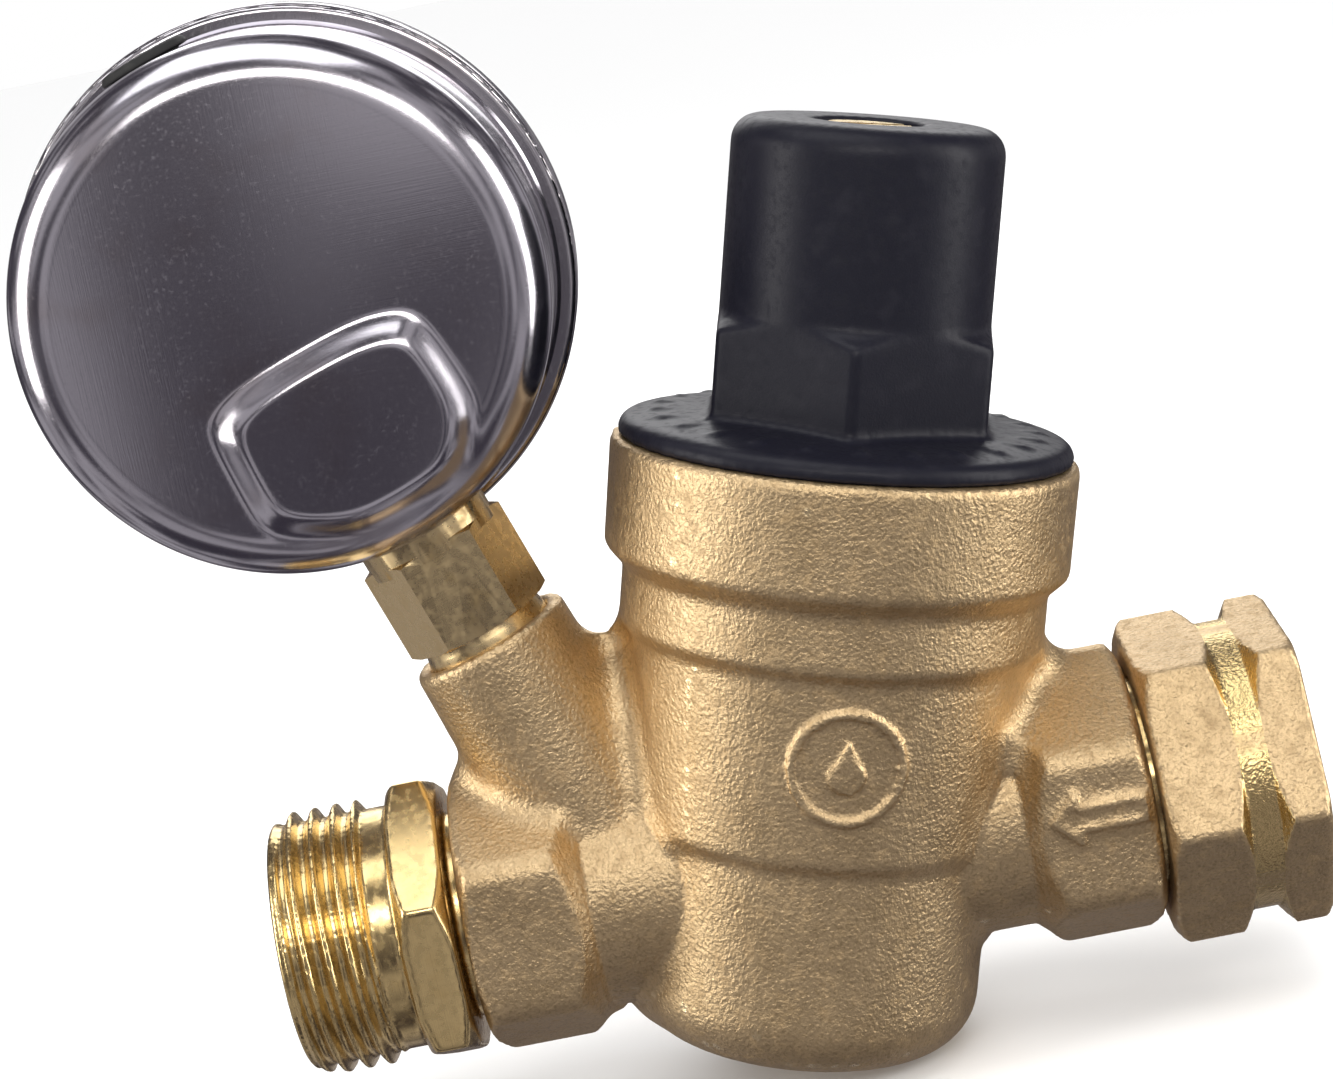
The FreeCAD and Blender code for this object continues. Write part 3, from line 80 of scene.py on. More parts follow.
def frame_of(origin, z_axis, y_axis):
    """Millimetre frame with the given Z and Y directions."""
    z_axis = z_axis.normalized()
    x_axis = y_axis.cross(z_axis).normalized()
    y_axis = z_axis.cross(x_axis)
    turned = Matrix((x_axis, y_axis, z_axis)).transposed().to_4x4()
    return Matrix.Translation(origin) @ turned


BONNET = frame_of(CROSSING, BONNET_AXIS, ROW_Y)
STEM = frame_of(STEM_FOOT, STEM_AXIS, ROW_Y)
DIAL = frame_of(DIAL_CENTRE, ROW_Y, STEM_AXIS)
PIPE = frame_of(CROSSING, ROW_X, ROW_Y)


# ------------------------------------------------------------------ meshes
def new_piece(name, points, faces, body, material, smooth_angle=35.0, replaces=()):
    """Mesh piece from points in row millimetres, riding on a body."""
    mesh = bpy.data.meshes.new(name)
    points = np.asarray(points, np.float32) * MM
    mesh.vertices.add(len(points))
    mesh.vertices.foreach_set("co", points.ravel())
    if isinstance(faces, np.ndarray):
        corners = faces.ravel()
        starts = np.arange(len(faces)) * faces.shape[1]
    else:
        corners = np.array([corner for face in faces for corner in face])
        starts = np.cumsum([0] + [len(face) for face in faces[:-1]])
    mesh.loops.add(len(corners))
    mesh.loops.foreach_set("vertex_index", corners.astype(np.int32))
    mesh.polygons.add(len(faces))
    mesh.polygons.foreach_set("loop_start", starts.astype(np.int32))
    mesh.update(calc_edges=True)
    mesh.validate()
    outward(mesh)
    mesh.shade_smooth()
    mesh.set_sharp_from_angle(angle=math.radians(smooth_angle))
    piece = bpy.data.objects.new(name, mesh)
    bpy.context.scene.collection.objects.link(piece)
    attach(piece, body)
    dress(piece, material)
    if replaces:
        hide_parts(*replaces)
    return piece


def outward(mesh):
    """Turn the faces so that they face out of the solid."""
    work = bmesh.new()
    work.from_mesh(mesh)
    bmesh.ops.recalc_face_normals(work, faces=work.faces)
    if work.calc_volume(signed=True) < 0:
        bmesh.ops.reverse_faces(work, faces=work.faces)
    work.to_mesh(mesh)
    work.free()


def dress(piece, material):
    """Give a piece one material."""
    piece.data.materials.clear()
    piece.data.materials.append(material)


# ------------------------------------------------------------------ solids as signed distances
class Solid:
    """Signed distances in millimetres on a regular grid around a CAD node."""

    def __init__(self, node, voxel, reach):
        mesh = NODES[node].data
        points = np.zeros(len(mesh.vertices) * 3, np.float32)
        mesh.vertices.foreach_get("co", points)
        points = points.reshape(-1, 3) / MM
        mesh.calc_loop_triangles()
        triangles = np.zeros(len(mesh.loop_triangles) * 3, np.int32)
        mesh.loop_triangles.foreach_get("vertices", triangles)
        self.voxel = voxel
        self.band = reach / voxel + 3.0
        self.space = openvdb.createLinearTransform(voxelSize=voxel)
        margin = int(self.band) + 2
        self.low = np.floor(points.min(0) / voxel).astype(int) - margin
        high = np.ceil(points.max(0) / voxel).astype(int) + margin
        self.values = np.zeros(tuple(high - self.low), np.float32)
        self.read(openvdb.FloatGrid.createLevelSetFromPolygons(
            points, triangles=triangles.reshape(-1, 3).astype(np.uint32),
            transform=self.space, halfWidth=self.band))

    def corner(self):
        return tuple(int(index) for index in self.low)

    def read(self, grid):
        grid.copyToArray(self.values, ijk=self.corner())

    def surface(self, level=0.0):
        """Points and quads of the surface at a distance outside the solid."""
        grid = openvdb.FloatGrid(self.voxel * self.band)
        grid.copyFromArray(self.values, ijk=self.corner())
        grid.transform = self.space
        return grid.convertToQuads(isovalue=level)

    def shifted(self, level):
        """Distances after moving the surface out by a level and back in again."""
        points, quads = self.surface(level)
        grid = openvdb.FloatGrid.createLevelSetFromPolygons(
            points, quads=quads, transform=self.space, halfWidth=self.band)
        values = np.zeros_like(self.values)
        grid.copyToArray(values, ijk=self.corner())
        return values + level

    def fill_corners(self, radius, share=1.0):
        """Round the hollow corners with a radius, where share is 1."""
        self.values += (np.minimum(self.shifted(radius), self.values) - self.values) * share

    def round_edges(self, radius):
        """Round the outer edges with a radius."""
        self.values = np.maximum(self.shifted(-radius), self.values)

    def coordinates(self):
        """Row coordinates of the grid's points, one array for each direction."""
        sizes = self.values.shape
        axes = []
        for direction in range(3):
            shape = [1, 1, 1]
            shape[direction] = sizes[direction]
            index = np.arange(sizes[direction], dtype=np.float32) + self.low[direction]
            axes.append((index * self.voxel).reshape(shape))
        return axes

    def local(self, place):
        """Grid points in a millimetre frame's own coordinates."""
        x, y, z = self.coordinates()
        back = place.inverted()
        return [np.float32(back[row][0]) * x + np.float32(back[row][1]) * y
                + np.float32(back[row][2]) * z + np.float32(back[row][3]) for row in range(3)]

    def piece(self, name, body, material, replaces=()):
        points, quads = self.surface()
        return new_piece(name, points, quads, body, material, 180.0, replaces)


def ramp(value, low, high):
    """Smooth step from 0 at low to 1 at high."""
    share = np.clip((value - low) / (high - low), 0.0, 1.0)
    return share * share * (3.0 - 2.0 * share)


# ------------------------------------------------------------------ materials
WORN_ROUGHNESS, FORGED_ROUGHNESS, FORGED_ROUGH_PATCH = 0.25, 0.42, 0.60
LATHE_PITCH, LATHE_DEPTH = 0.14, 0.005
STEEL_ROUGHNESS, STEEL_ROUGH_PATCH = 0.17, 0.24
PLASTIC_SPECULAR = 0.2


class Finish:
    """A procedural material built up step by step; distances are in millimetres."""

    def __init__(self, name, color, metallic=0.0, roughness=0.5):
        self.material = bpy.data.materials.new(name)
        self.material.use_nodes = True
        self.tree = self.material.node_tree
        self.shader = self.tree.nodes["Principled BSDF"]
        self.shader.inputs["Metallic"].default_value = metallic
        self.place = self.add("ShaderNodeTexCoord").outputs["Object"]
        self.color = (*color, 1)
        self.rough = roughness
        self.normal = None

    def add(self, kind, **settings):
        node = self.tree.nodes.new(kind)
        for name, setting in settings.items():
            setattr(node, name, setting)
        return node

    def join(self, source, target):
        """Link a node's output to a socket, or set the socket to a plain value."""
        if isinstance(source, bpy.types.NodeSocket):
            self.tree.links.new(source, target)
        else:
            target.default_value = source

    def math(self, operation, first, second=0.0):
        node = self.add("ShaderNodeMath", operation=operation)
        self.join(first, node.inputs[0])
        self.join(second, node.inputs[1])
        return node.outputs[0]

    def noise(self, size, detail=3.0, stretch=(1.0, 1.0, 1.0)):
        """Noise with features of a size, longer along the directions with a stretch above 1."""
        mapping = self.add("ShaderNodeMapping")
        mapping.inputs["Scale"].default_value = [1.0 / (size * MM * length) for length in stretch]
        self.join(self.place, mapping.inputs["Vector"])
        texture = self.add("ShaderNodeTexNoise")
        texture.inputs["Scale"].default_value = 1.0
        texture.inputs["Detail"].default_value = detail
        self.join(mapping.outputs[0], texture.inputs["Vector"])
        return texture.outputs["Fac"]

    def along(self, origin, direction):
        """Distance along a direction from an origin, in millimetres."""
        shifted = self.add("ShaderNodeVectorMath", operation="SUBTRACT")
        self.join(self.place, shifted.inputs[0])
        shifted.inputs[1].default_value = Vector(origin) * MM
        dot = self.add("ShaderNodeVectorMath", operation="DOT_PRODUCT")
        self.join(shifted.outputs[0], dot.inputs[0])
        dot.inputs[1].default_value = Vector(direction) / MM
        return dot.outputs["Value"]

    def step(self, source, low, high):
        """Smooth step of a value from 0 at low to 1 at high."""
        node = self.add("ShaderNodeMapRange", interpolation_type="SMOOTHSTEP")
        node.inputs["From Min"].default_value = low
        node.inputs["From Max"].default_value = high
        self.join(source, node.inputs["Value"])
        return node.outputs["Result"]

    def tint(self, share, color):
        """Mix the color towards another where the share is 1."""
        node = self.add("ShaderNodeMix", data_type="RGBA")
        self.join(share, node.inputs["Factor"])
        self.join(self.color, node.inputs["A"])
        node.inputs["B"].default_value = (*color, 1)
        self.color = node.outputs["Result"]
        return self

    def shine(self, share, roughness):
        """Move the roughness towards another where the share is 1."""
        node = self.add("ShaderNodeMix", data_type="FLOAT")
        self.join(share, node.inputs["Factor"])
        self.join(self.rough, node.inputs["A"])
        node.inputs["B"].default_value = roughness
        self.rough = node.outputs["Result"]
        return self

    def bump(self, height, depth):
        """Relief of a depth in millimetres."""
        node = self.add("ShaderNodeBump")
        node.inputs["Distance"].default_value = depth * MM
        self.join(height, node.inputs["Height"])
        if self.normal is not None:
            self.join(self.normal, node.inputs["Normal"])
        self.normal = node.outputs["Normal"]
        return self

    def worn(self, color):
        """Bright wear in patches on the outer edges."""
        edge = self.step(self.add("ShaderNodeNewGeometry").outputs["Pointiness"], 0.52, 0.60)
        patch = self.step(self.noise(1.6), 0.35, 0.6)
        share = self.math("MULTIPLY", edge, patch)
        return self.tint(share, color).shine(share, WORN_ROUGHNESS)

    def blotches(self, size, detail, low, high, strength):
        """Share of a stain in blotches of a size, at most the strength."""
        return self.math("MULTIPLY", self.step(self.noise(size, detail), low, high), strength)

    def done(self):
        self.join(self.color, self.shader.inputs["Base Color"])
        self.join(self.rough, self.shader.inputs["Roughness"])
        if self.normal is not None:
            self.join(self.normal, self.shader.inputs["Normal"])
        return self.material


def forged(name, color, dark, bright):
    """Forged and blasted brass: grain, blotches and worn edges."""
    finish = Finish(name, color, 1.0, FORGED_ROUGHNESS)
    finish.tint(finish.blotches(6.0, 4.0, 0.45, 0.75, 0.35), dark)
    finish.tint(finish.blotches(0.32, 3.0, 0.50, 0.66, 0.55), dark)
    finish.shine(finish.step(finish.noise(1.3), 0.45, 0.75), FORGED_ROUGH_PATCH)
    finish.bump(finish.noise(0.40, 3.0), 0.15)
    finish.bump(finish.noise(1.8, 2.0), 0.045)
    return finish.worn(bright)


def turned(name, color, dark, origin, axis, roughness=0.2):
    """Metal cut on a lathe: fine lines around an axis, light stains."""
    finish = Finish(name, color, 1.0, roughness)
    lines = finish.add("ShaderNodeTexNoise", noise_dimensions="1D")
    lines.inputs["Scale"].default_value = 1.0 / LATHE_PITCH
    lines.inputs["Detail"].default_value = 2.0
    finish.join(finish.along(origin, axis), lines.inputs["W"])
    finish.bump(lines.outputs["Fac"], LATHE_DEPTH)
    finish.tint(finish.blotches(3.0, 4.0, 0.50, 0.75, 0.4), dark)
    finish.shine(finish.step(finish.noise(0.9), 0.40, 0.75), roughness + 0.14)
    return finish


def polished(name, color, dark):
    """Polished stainless with fine scratches and faint brown patches."""
    finish = Finish(name, color, 1.0, STEEL_ROUGHNESS)
    finish.tint(finish.blotches(9.0, 4.0, 0.5, 0.8, 0.5), dark)
    finish.bump(finish.noise(0.12, 2.0, (60.0, 3.0, 1.0)), 0.0025)
    finish.bump(finish.noise(0.12, 2.0, (1.0, 3.0, 45.0)), 0.0020)
    finish.shine(finish.step(finish.noise(0.35), 0.55, 0.75), STEEL_ROUGH_PATCH)
    return finish


def moulded(name, color, light, roughness, grain=0.3, depth=0.018):
    """Plastic, rubber or paint: an even colour with a fine skin."""
    finish = Finish(name, color, 0.0, roughness)
    finish.shader.inputs["Specular IOR Level"].default_value = PLASTIC_SPECULAR
    finish.tint(finish.step(finish.noise(2.4, 4.0), 0.50, 0.78), light)
    finish.shine(finish.step(finish.noise(0.8), 0.45, 0.75), min(roughness + 0.12, 1.0))
    return finish.bump(finish.noise(grain, 3.0), depth)


BRASS, BRASS_DARK, BRASS_BRIGHT = (0.69, 0.515, 0.295), (0.44, 0.31, 0.16), (0.88, 0.70, 0.42)
CUT_BRASS, CUT_DARK = (0.80, 0.60, 0.28), (0.62, 0.43, 0.17)
STEEL_LIGHT, STEEL_DARK = (0.58, 0.56, 0.61), (0.44, 0.37, 0.36)
LENS_IOR, GROOVE_ROUGHNESS = 1.49, 0.24

nut_finish = forged("nut_brass", BRASS, BRASS_DARK, BRASS_BRIGHT)
# The turned groove is bright where it has cut the corners; the flats between stay forged.
GROOVE_RADIUS, GROOVE_MIDDLE, GROOVE_HALF, GROOVE_RISE = 14.68, -5.95, 1.45, 1.75
along_pipe = nut_finish.math("ABSOLUTE", nut_finish.along((GROOVE_MIDDLE, 0, 0), ROW_X))
side = nut_finish.math("MAXIMUM", nut_finish.math("SUBTRACT", along_pipe, GROOVE_HALF))
across = [nut_finish.along((0, 0, 0), axis) for axis in (ROW_Y, ROW_Z)]
squares = [nut_finish.math("MULTIPLY", value, value) for value in across]
radius = nut_finish.math("SQRT", nut_finish.math("ADD", *squares))
above = nut_finish.math("SUBTRACT", radius, nut_finish.math("MULTIPLY", side, GROOVE_RISE))
grip = nut_finish.step(above, GROOVE_RADIUS - 0.12, GROOVE_RADIUS - 0.02)
nut_finish.tint(grip, CUT_BRASS).shine(grip, GROOVE_ROUGHNESS)

lens_finish = moulded("clear_lens", (1.0, 1.0, 1.0), (0.97, 0.99, 0.99), 0.02, 1.0, 0.002)
lens_finish.shader.inputs["Transmission Weight"].default_value = 1.0
lens_finish.shader.inputs["IOR"].default_value = LENS_IOR

FINISHES = {
    "forged_brass": forged("forged_brass", BRASS, BRASS_DARK, BRASS_BRIGHT),
    "nut_brass": nut_finish,
    "machined_brass": turned("machined_brass", CUT_BRASS, CUT_DARK, CROSSING, ROW_X),
    "socket_brass": turned("socket_brass", (0.74, 0.57, 0.31), CUT_DARK, STEM_FOOT, STEM_AXIS, 0.26),
    "screw_brass": turned("screw_brass", (0.78, 0.60, 0.30), CUT_DARK, CROSSING, BONNET_AXIS, 0.26),
    "tube_bronze": turned("tube_bronze", (0.62, 0.38, 0.22), (0.45, 0.26, 0.15), CROSSING, ROW_Y, 0.3),
    "plated_steel": turned("plated_steel", (0.62, 0.62, 0.64), (0.50, 0.48, 0.44), CROSSING,
                           BONNET_AXIS, 0.3),
    "spring_steel": turned("spring_steel", (0.36, 0.35, 0.35), (0.24, 0.20, 0.17), CROSSING, ROW_Y, 0.32),
    "screen_steel": turned("screen_steel", (0.66, 0.66, 0.67), (0.52, 0.50, 0.48), CROSSING, ROW_X, 0.28),
    "polished_steel": polished("polished_steel", STEEL_LIGHT, STEEL_DARK),
    "bezel_steel": polished("bezel_steel", (0.64, 0.62, 0.65), STEEL_DARK),
    "navy_plastic": moulded("navy_plastic", (0.0065, 0.0065, 0.012), (0.010, 0.0098, 0.0155), 0.40,
                            0.22, 0.012),
    "acetal": moulded("acetal", (0.80, 0.80, 0.76), (0.74, 0.72, 0.66), 0.35),
    "black_rubber": moulded("black_rubber", (0.018, 0.018, 0.018), (0.034, 0.033, 0.032), 0.62),
    "dial_white": moulded("dial_white", (0.80, 0.80, 0.77), (0.72, 0.72, 0.68), 0.4, 0.5, 0.008),
    "pointer_black": moulded("pointer_black", (0.012, 0.012, 0.012), (0.03, 0.03, 0.03), 0.45),
    "clear_lens": lens_finish,
}
FINISHES = {name: finish.done() for name, finish in FINISHES.items()}
SLOT_OF = {part["node"]: part["material_slot"] for part in frame["record"]["subparts"]}

for name, node in NODES.items():
    dress(node, FINISHES[SLOT_OF[name]])

# ------------------------------------------------------------------ small bevels on the clean CAD parts
BEVELS = {"gauge_bezel": 0.45, "gauge_socket": 0.25, "adjusting_screw": 0.12,
          "inlet_tailpiece": 0.2, "vent_plug": 0.3}
BEVEL_STEPS, BEVEL_ANGLE = 3, 38
for name, width in BEVELS.items():
    weld = NODES[name].modifiers.new("weld", "WELD")
    weld.merge_threshold = 1e-6
    bevel = NODES[name].modifiers.new("bevel", "BEVEL")
    bevel.width = width * MM
    bevel.segments = BEVEL_STEPS
    bevel.limit_method = "ANGLE"
    bevel.angle_limit = math.radians(BEVEL_ANGLE)
    bevel.harden_normals = True


def finished(solid, name, body, node):
    """Make the piece that stands for a CAD node, in that node's finish."""
    piece = solid.piece(name, body, FINISHES[SLOT_OF[node]], replaces=[node])


def cut(solid, distance):
    """Take away the region where the distance is negative."""
    solid.values = np.maximum(solid.values, -distance)


def add(solid, distance):
    """Add the region where the distance is negative."""
    solid.values = np.minimum(solid.values, distance)


def skin_of(solid, raised):
    """Distance to the surface moved out by a little, for a relief on it."""
    return solid.values - raised


# ------------------------------------------------------------------ forged body
FAR = 9.0  # a distance that takes no part in a union
BARREL_SKIN, PIPE_SKIN, STEM_SKIN = (17.0, 18.0), (11.4, 12.2), (7.2, 7.8)
FLANK_SIDE, PIPE_REACH, STEM_REACH = (11.0, 14.0), (17.5, 20.0), (12.0, 15.0)
SADDLE_FILLET, SMALL_FILLET, FORGED_EDGE = 2.2, 0.6, 0.45
body = Solid("valve_body", 0.35, 2.4)
bonnet_x, bonnet_y, bonnet_z = body.local(BONNET)
pipe_down, pipe_side, pipe_along = body.local(PIPE)
stem_x, stem_y, _ = body.local(STEM)
from_barrel = np.hypot(bonnet_x, bonnet_y)
from_pipe = np.hypot(pipe_down, pipe_side)
from_stem = np.hypot(stem_x, stem_y)
# The bores stay sharp: only the outside is softened, most where the bosses leave the barrel.
outside = ramp(from_barrel, *BARREL_SKIN) * ramp(from_pipe, *PIPE_SKIN) * ramp(from_stem, *STEM_SKIN)
flank = np.maximum(ramp(np.abs(bonnet_x), *FLANK_SIDE) * (1 - ramp(from_pipe, *PIPE_REACH)),
                   1 - ramp(from_stem, *STEM_REACH))
body.fill_corners(SADDLE_FILLET, outside * flank)
body.fill_corners(SMALL_FILLET, outside)
body.round_edges(FORGED_EDGE)

# A raised ring with a plain drop in it stands where the photo's badge is.
BADGE_HEIGHT, BADGE_SIDE, BADGE_RADIUS, BADGE_RAISE, BADGE_LINE = 13.35, 1.1, 5.4, 0.42, 0.42
DROP_RADIUS, DROP_LOW, DROP_HALF = 1.9, -0.6, 3.1
badge_z = bonnet_z - BADGE_HEIGHT
badge_x = bonnet_x - BADGE_SIDE
from_badge = np.hypot(badge_x, badge_z)
skin = skin_of(body, BADGE_RAISE)
front = np.where(bonnet_y < 0, 0.0, FAR)
add(body, np.maximum(skin, np.abs(from_badge - BADGE_RADIUS) - BADGE_LINE) + front)
drop_half = np.where(
    badge_z < DROP_LOW, np.sqrt(np.clip(DROP_RADIUS ** 2 - (badge_z - DROP_LOW) ** 2, 0, None)),
    DROP_RADIUS * np.clip((DROP_HALF - badge_z) / (DROP_HALF - DROP_LOW), 0, 1) ** 1.25)
drop = np.where(np.abs(badge_z) < DROP_HALF, np.abs(badge_x) - drop_half, FAR)
add(body, np.maximum(skin, drop) + front)

# The flow arrow of the inlet boss, an outline that points from the supply towards the outlet.
ARROW_AT, ARROW_UP, ARROW_RAISE, ARROW_LINE = 27.8, 1.6, 0.3, 0.36
ARROW = [(-4.5, 0.0), (-2.05, 2.45), (-2.05, 1.2), (4.5, 1.2), (4.5, -1.2), (-2.05, -1.2),
         (-2.05, -2.45)]
arrow_x, arrow_z = pipe_along - ARROW_AT, -pipe_down - ARROW_UP
from_line = np.full(body.values.shape, FAR, np.float32)
for (ax, az), (bx, bz) in zip(ARROW, ARROW[1:] + ARROW[:1]):
    run_x, run_z = bx - ax, bz - az
    share = np.clip(((arrow_x - ax) * run_x + (arrow_z - az) * run_z) / (run_x ** 2 + run_z ** 2),
                    0, 1)
    from_line = np.minimum(from_line, np.hypot(arrow_x - ax - share * run_x,
                                               arrow_z - az - share * run_z))
add(body, np.maximum(skin_of(body, ARROW_RAISE), from_line - ARROW_LINE) + front)
finished(body, "forged_body", "housing", "valve_body")

# ------------------------------------------------------------------ bonnet
cap = Solid("bonnet", 0.35, 1.4)
cap.fill_corners(0.4)
cap.round_edges(0.25)
finished(cap, "moulded_bonnet", "housing", "bonnet")

# ------------------------------------------------------------------ hose threads, 11.5 turns an inch
PITCH, CREST_HALF, FLANK = 25.4 / 11.5, 0.138, math.tan(math.radians(60))
FLANK_TO_GRID = 0.6  # keeps the steep flanks near true distance
LEAD_IN_RISE, RUN_OUT_RISE, ROOT_WALL, SLEEVE_WALL = 0.9, 1.6, 0.8, 0.4


def ridge(solid, first_crest):
    """How far each grid point lies along the pipe from the nearest crest of a right-hand thread."""
    x, y, z = solid.coordinates()
    turns = (x - first_crest) / PITCH - np.arctan2(z, y) / (2 * math.pi)
    away = np.abs(turns - np.round(turns)) * PITCH
    return x, np.hypot(y, z), np.clip(away - CREST_HALF, 0, None) * FLANK


OUT_CREST, OUT_ROOT, OUT_LOW, OUT_HIGH, OUT_FIRST = 13.49, 12.35, -102.7, -93.6, -101.3
adapter = Solid("outlet_adapter", 0.28, 0.6)
adapter.round_edges(0.2)
x, radius, drop_off = ridge(adapter, OUT_FIRST)
threaded = (x > OUT_LOW) & (x < OUT_HIGH)
adapter.values = np.where(threaded, np.maximum(adapter.values, radius - OUT_ROOT), adapter.values)
lead_in = np.minimum((x - OUT_LOW) * LEAD_IN_RISE, (OUT_HIGH - x) * RUN_OUT_RISE)
top = np.minimum(OUT_CREST - drop_off, OUT_ROOT + lead_in)
thread = np.maximum((radius - top) * FLANK_TO_GRID, OUT_ROOT - ROOT_WALL - radius)
add(adapter, np.where(threaded, thread, FAR))
finished(adapter, "threaded_outlet", "housing", "outlet_adapter")

IN_CREST, IN_ROOT, IN_LOW, IN_HIGH, IN_FIRST = 12.2, 13.62, -6.9, 0.0, -6.0
nut = Solid("swivel_nut", 0.3, 0.9)
nut.fill_corners(0.35)
nut.round_edges(0.35)
x, radius, drop_off = ridge(nut, IN_FIRST)
threaded = (x > IN_LOW) & (x < IN_HIGH)
sleeve = np.maximum(IN_CREST - radius, radius - IN_ROOT - SLEEVE_WALL)
add(nut, np.where(threaded, sleeve, FAR))
beside = np.clip(np.abs(x - GROOVE_MIDDLE) - GROOVE_HALF, 0, None) * GROOVE_RISE
cut(nut, (GROOVE_RADIUS + beside - radius) / math.hypot(1, GROOVE_RISE))
thread_floor = np.minimum(IN_CREST + drop_off, IN_ROOT)
opened = np.maximum(nut.values, (thread_floor - radius) * FLANK_TO_GRID)
nut.values = np.where(threaded, opened, nut.values)
finished(nut, "threaded_nut", "swivel_nut", "swivel_nut")

# ------------------------------------------------------------------ gauge case, drawn from sheet
def stamped(place_x, place_y):
    """How far the stamped pad of the back stands out at a place on it: 0 outside, 1 on top."""
    outside_by = np.full(np.shape(place_x), -99.0)
    for (ax, ay), (bx, by) in zip(PAD, PAD[1:] + PAD[:1]):
        length = math.hypot(bx - ax, by - ay)
        outside_by = np.logaddexp(outside_by * PAD_SOFT, PAD_SOFT * (
            (place_x - ax) * (by - ay) - (place_y - ay) * (bx - ax)) / length) / PAD_SOFT
    return 1.0 - ramp(outside_by, -PAD_SLOPE / 2, PAD_SLOPE / 2)


case_high = Vector(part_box("gauge_case")[1]) / MM - DIAL_CENTRE
CASE_RADIUS, CASE_WALL, CASE_SHOULDER, CASE_DOME, PAD_TALL = 26.2, 0.8, 4.8, 1.0, 1.6
CASE_BACK, CASE_FRONT, LIP_RADIUS, LIP_LONG = -10.2, case_high.y, case_high.x, 1.2
LIP_GAP, SHOULDER_STEPS = 0.1, 18
PAD = [(10.2, -6.6), (7.6, -5.4), (-7.6, -5.4), (-10.8, -7.0), (-11.4, -16.8), (-7.4, -21.6),
       (3.8, -21.9), (10.9, -17.6)]
PAD_SOFT, PAD_SLOPE = 1.1, 3.2
AROUND, ACROSS = 288, 110
profile = [(CASE_RADIUS - CASE_SHOULDER) * step / ACROSS for step in range(1, ACROSS + 1)]
profile = [(along, CASE_BACK - CASE_DOME * (1 - (along / CASE_RADIUS) ** 2)) for along in profile]
edge_z = profile[-1][1]
profile += [(CASE_RADIUS - CASE_SHOULDER + CASE_SHOULDER * math.sin(turn),
             edge_z + CASE_SHOULDER * (1 - math.cos(turn)))
            for turn in (math.radians(90 / SHOULDER_STEPS * step)
                         for step in range(1, SHOULDER_STEPS + 1))]
lip_start = CASE_FRONT - LIP_LONG
profile += [(CASE_RADIUS, lip_start - 1.2), (CASE_RADIUS + 0.3, lip_start - 0.5),
            (LIP_RADIUS - 0.3, lip_start - 0.15), (LIP_RADIUS, lip_start + 0.3),
            (LIP_RADIUS, CASE_FRONT - LIP_GAP)]
turns = np.radians(np.arange(AROUND) * 360.0 / AROUND)
outer, inner = [], []
for along, depth in profile:
    ring_x, ring_y = along * np.cos(turns), along * np.sin(turns)
    lift = stamped(ring_x, ring_y) * PAD_TALL * (along < CASE_RADIUS)
    fade = np.clip((CASE_RADIUS - along) / CASE_SHOULDER, 0, 1)
    outer.append(np.stack([ring_x, ring_y, depth - lift * fade], 1))
    shrink = (along - CASE_WALL * min(along / (CASE_RADIUS - CASE_SHOULDER), 1.0)) / along
    inner.append(np.stack([ring_x * shrink, ring_y * shrink,
                           depth + min(CASE_WALL, CASE_FRONT - LIP_GAP - depth) - lift * fade], 1))
shell = np.concatenate(outer + inner)
rings = len(profile)
centre_lift = float(stamped(np.array([0.0]), np.array([0.0]))[0]) * PAD_TALL
shell = np.concatenate([shell, [[0, 0, CASE_BACK - CASE_DOME - centre_lift],
                                [0, 0, CASE_BACK - CASE_DOME + CASE_WALL - centre_lift]]])
faces = []
step_to = np.roll(np.arange(AROUND), -1)
for side, apex in ((0, 2 * rings * AROUND), (rings, 2 * rings * AROUND + 1)):
    start = side * AROUND
    faces += [(apex, start + i, start + int(step_to[i])) for i in range(AROUND)]
    for ring in range(side, side + rings - 1):
        faces += [(ring * AROUND + i, (ring + 1) * AROUND + i, (ring + 1) * AROUND + int(step_to[i]),
                   ring * AROUND + int(step_to[i])) for i in range(AROUND)]
faces += [((rings - 1) * AROUND + i, (2 * rings - 1) * AROUND + i,
           (2 * rings - 1) * AROUND + int(step_to[i]), (rings - 1) * AROUND + int(step_to[i]))
          for i in range(AROUND)]
case = new_piece("drawn_case", [tuple(DIAL @ Vector(point)) for point in shell], faces, "housing",
                 FINISHES["polished_steel"], 50.0, ["gauge_case"])

# ------------------------------------------------------------------ print on the dial
DIAL_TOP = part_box("gauge_dial")[1].y / MM
FULL_SCALE, START, SWEEP, STEPS, NUMBER_EVERY, LONG_EVERY = 160, 225.0, 270.0, 40, 10, 5
TICK_OUT, LONG_TICK, SHORT_TICK = 22.9, (20.2, 0.9), (21.5, 0.45)
PRINT_LOW, PRINT_HIGH = -0.02, 0.05
NUMBER_SIZE, NUMBER_DEPTH, NUMBER_RADIUS, NUMBER_LIFT = 4.2, 0.03, 16.6, 0.01
points, faces = [], []


def dial_point(along, around, lift):
    turn = math.radians(around)
    return DIAL @ Vector((along * math.cos(turn), along * math.sin(turn), DIAL_TOP + lift))


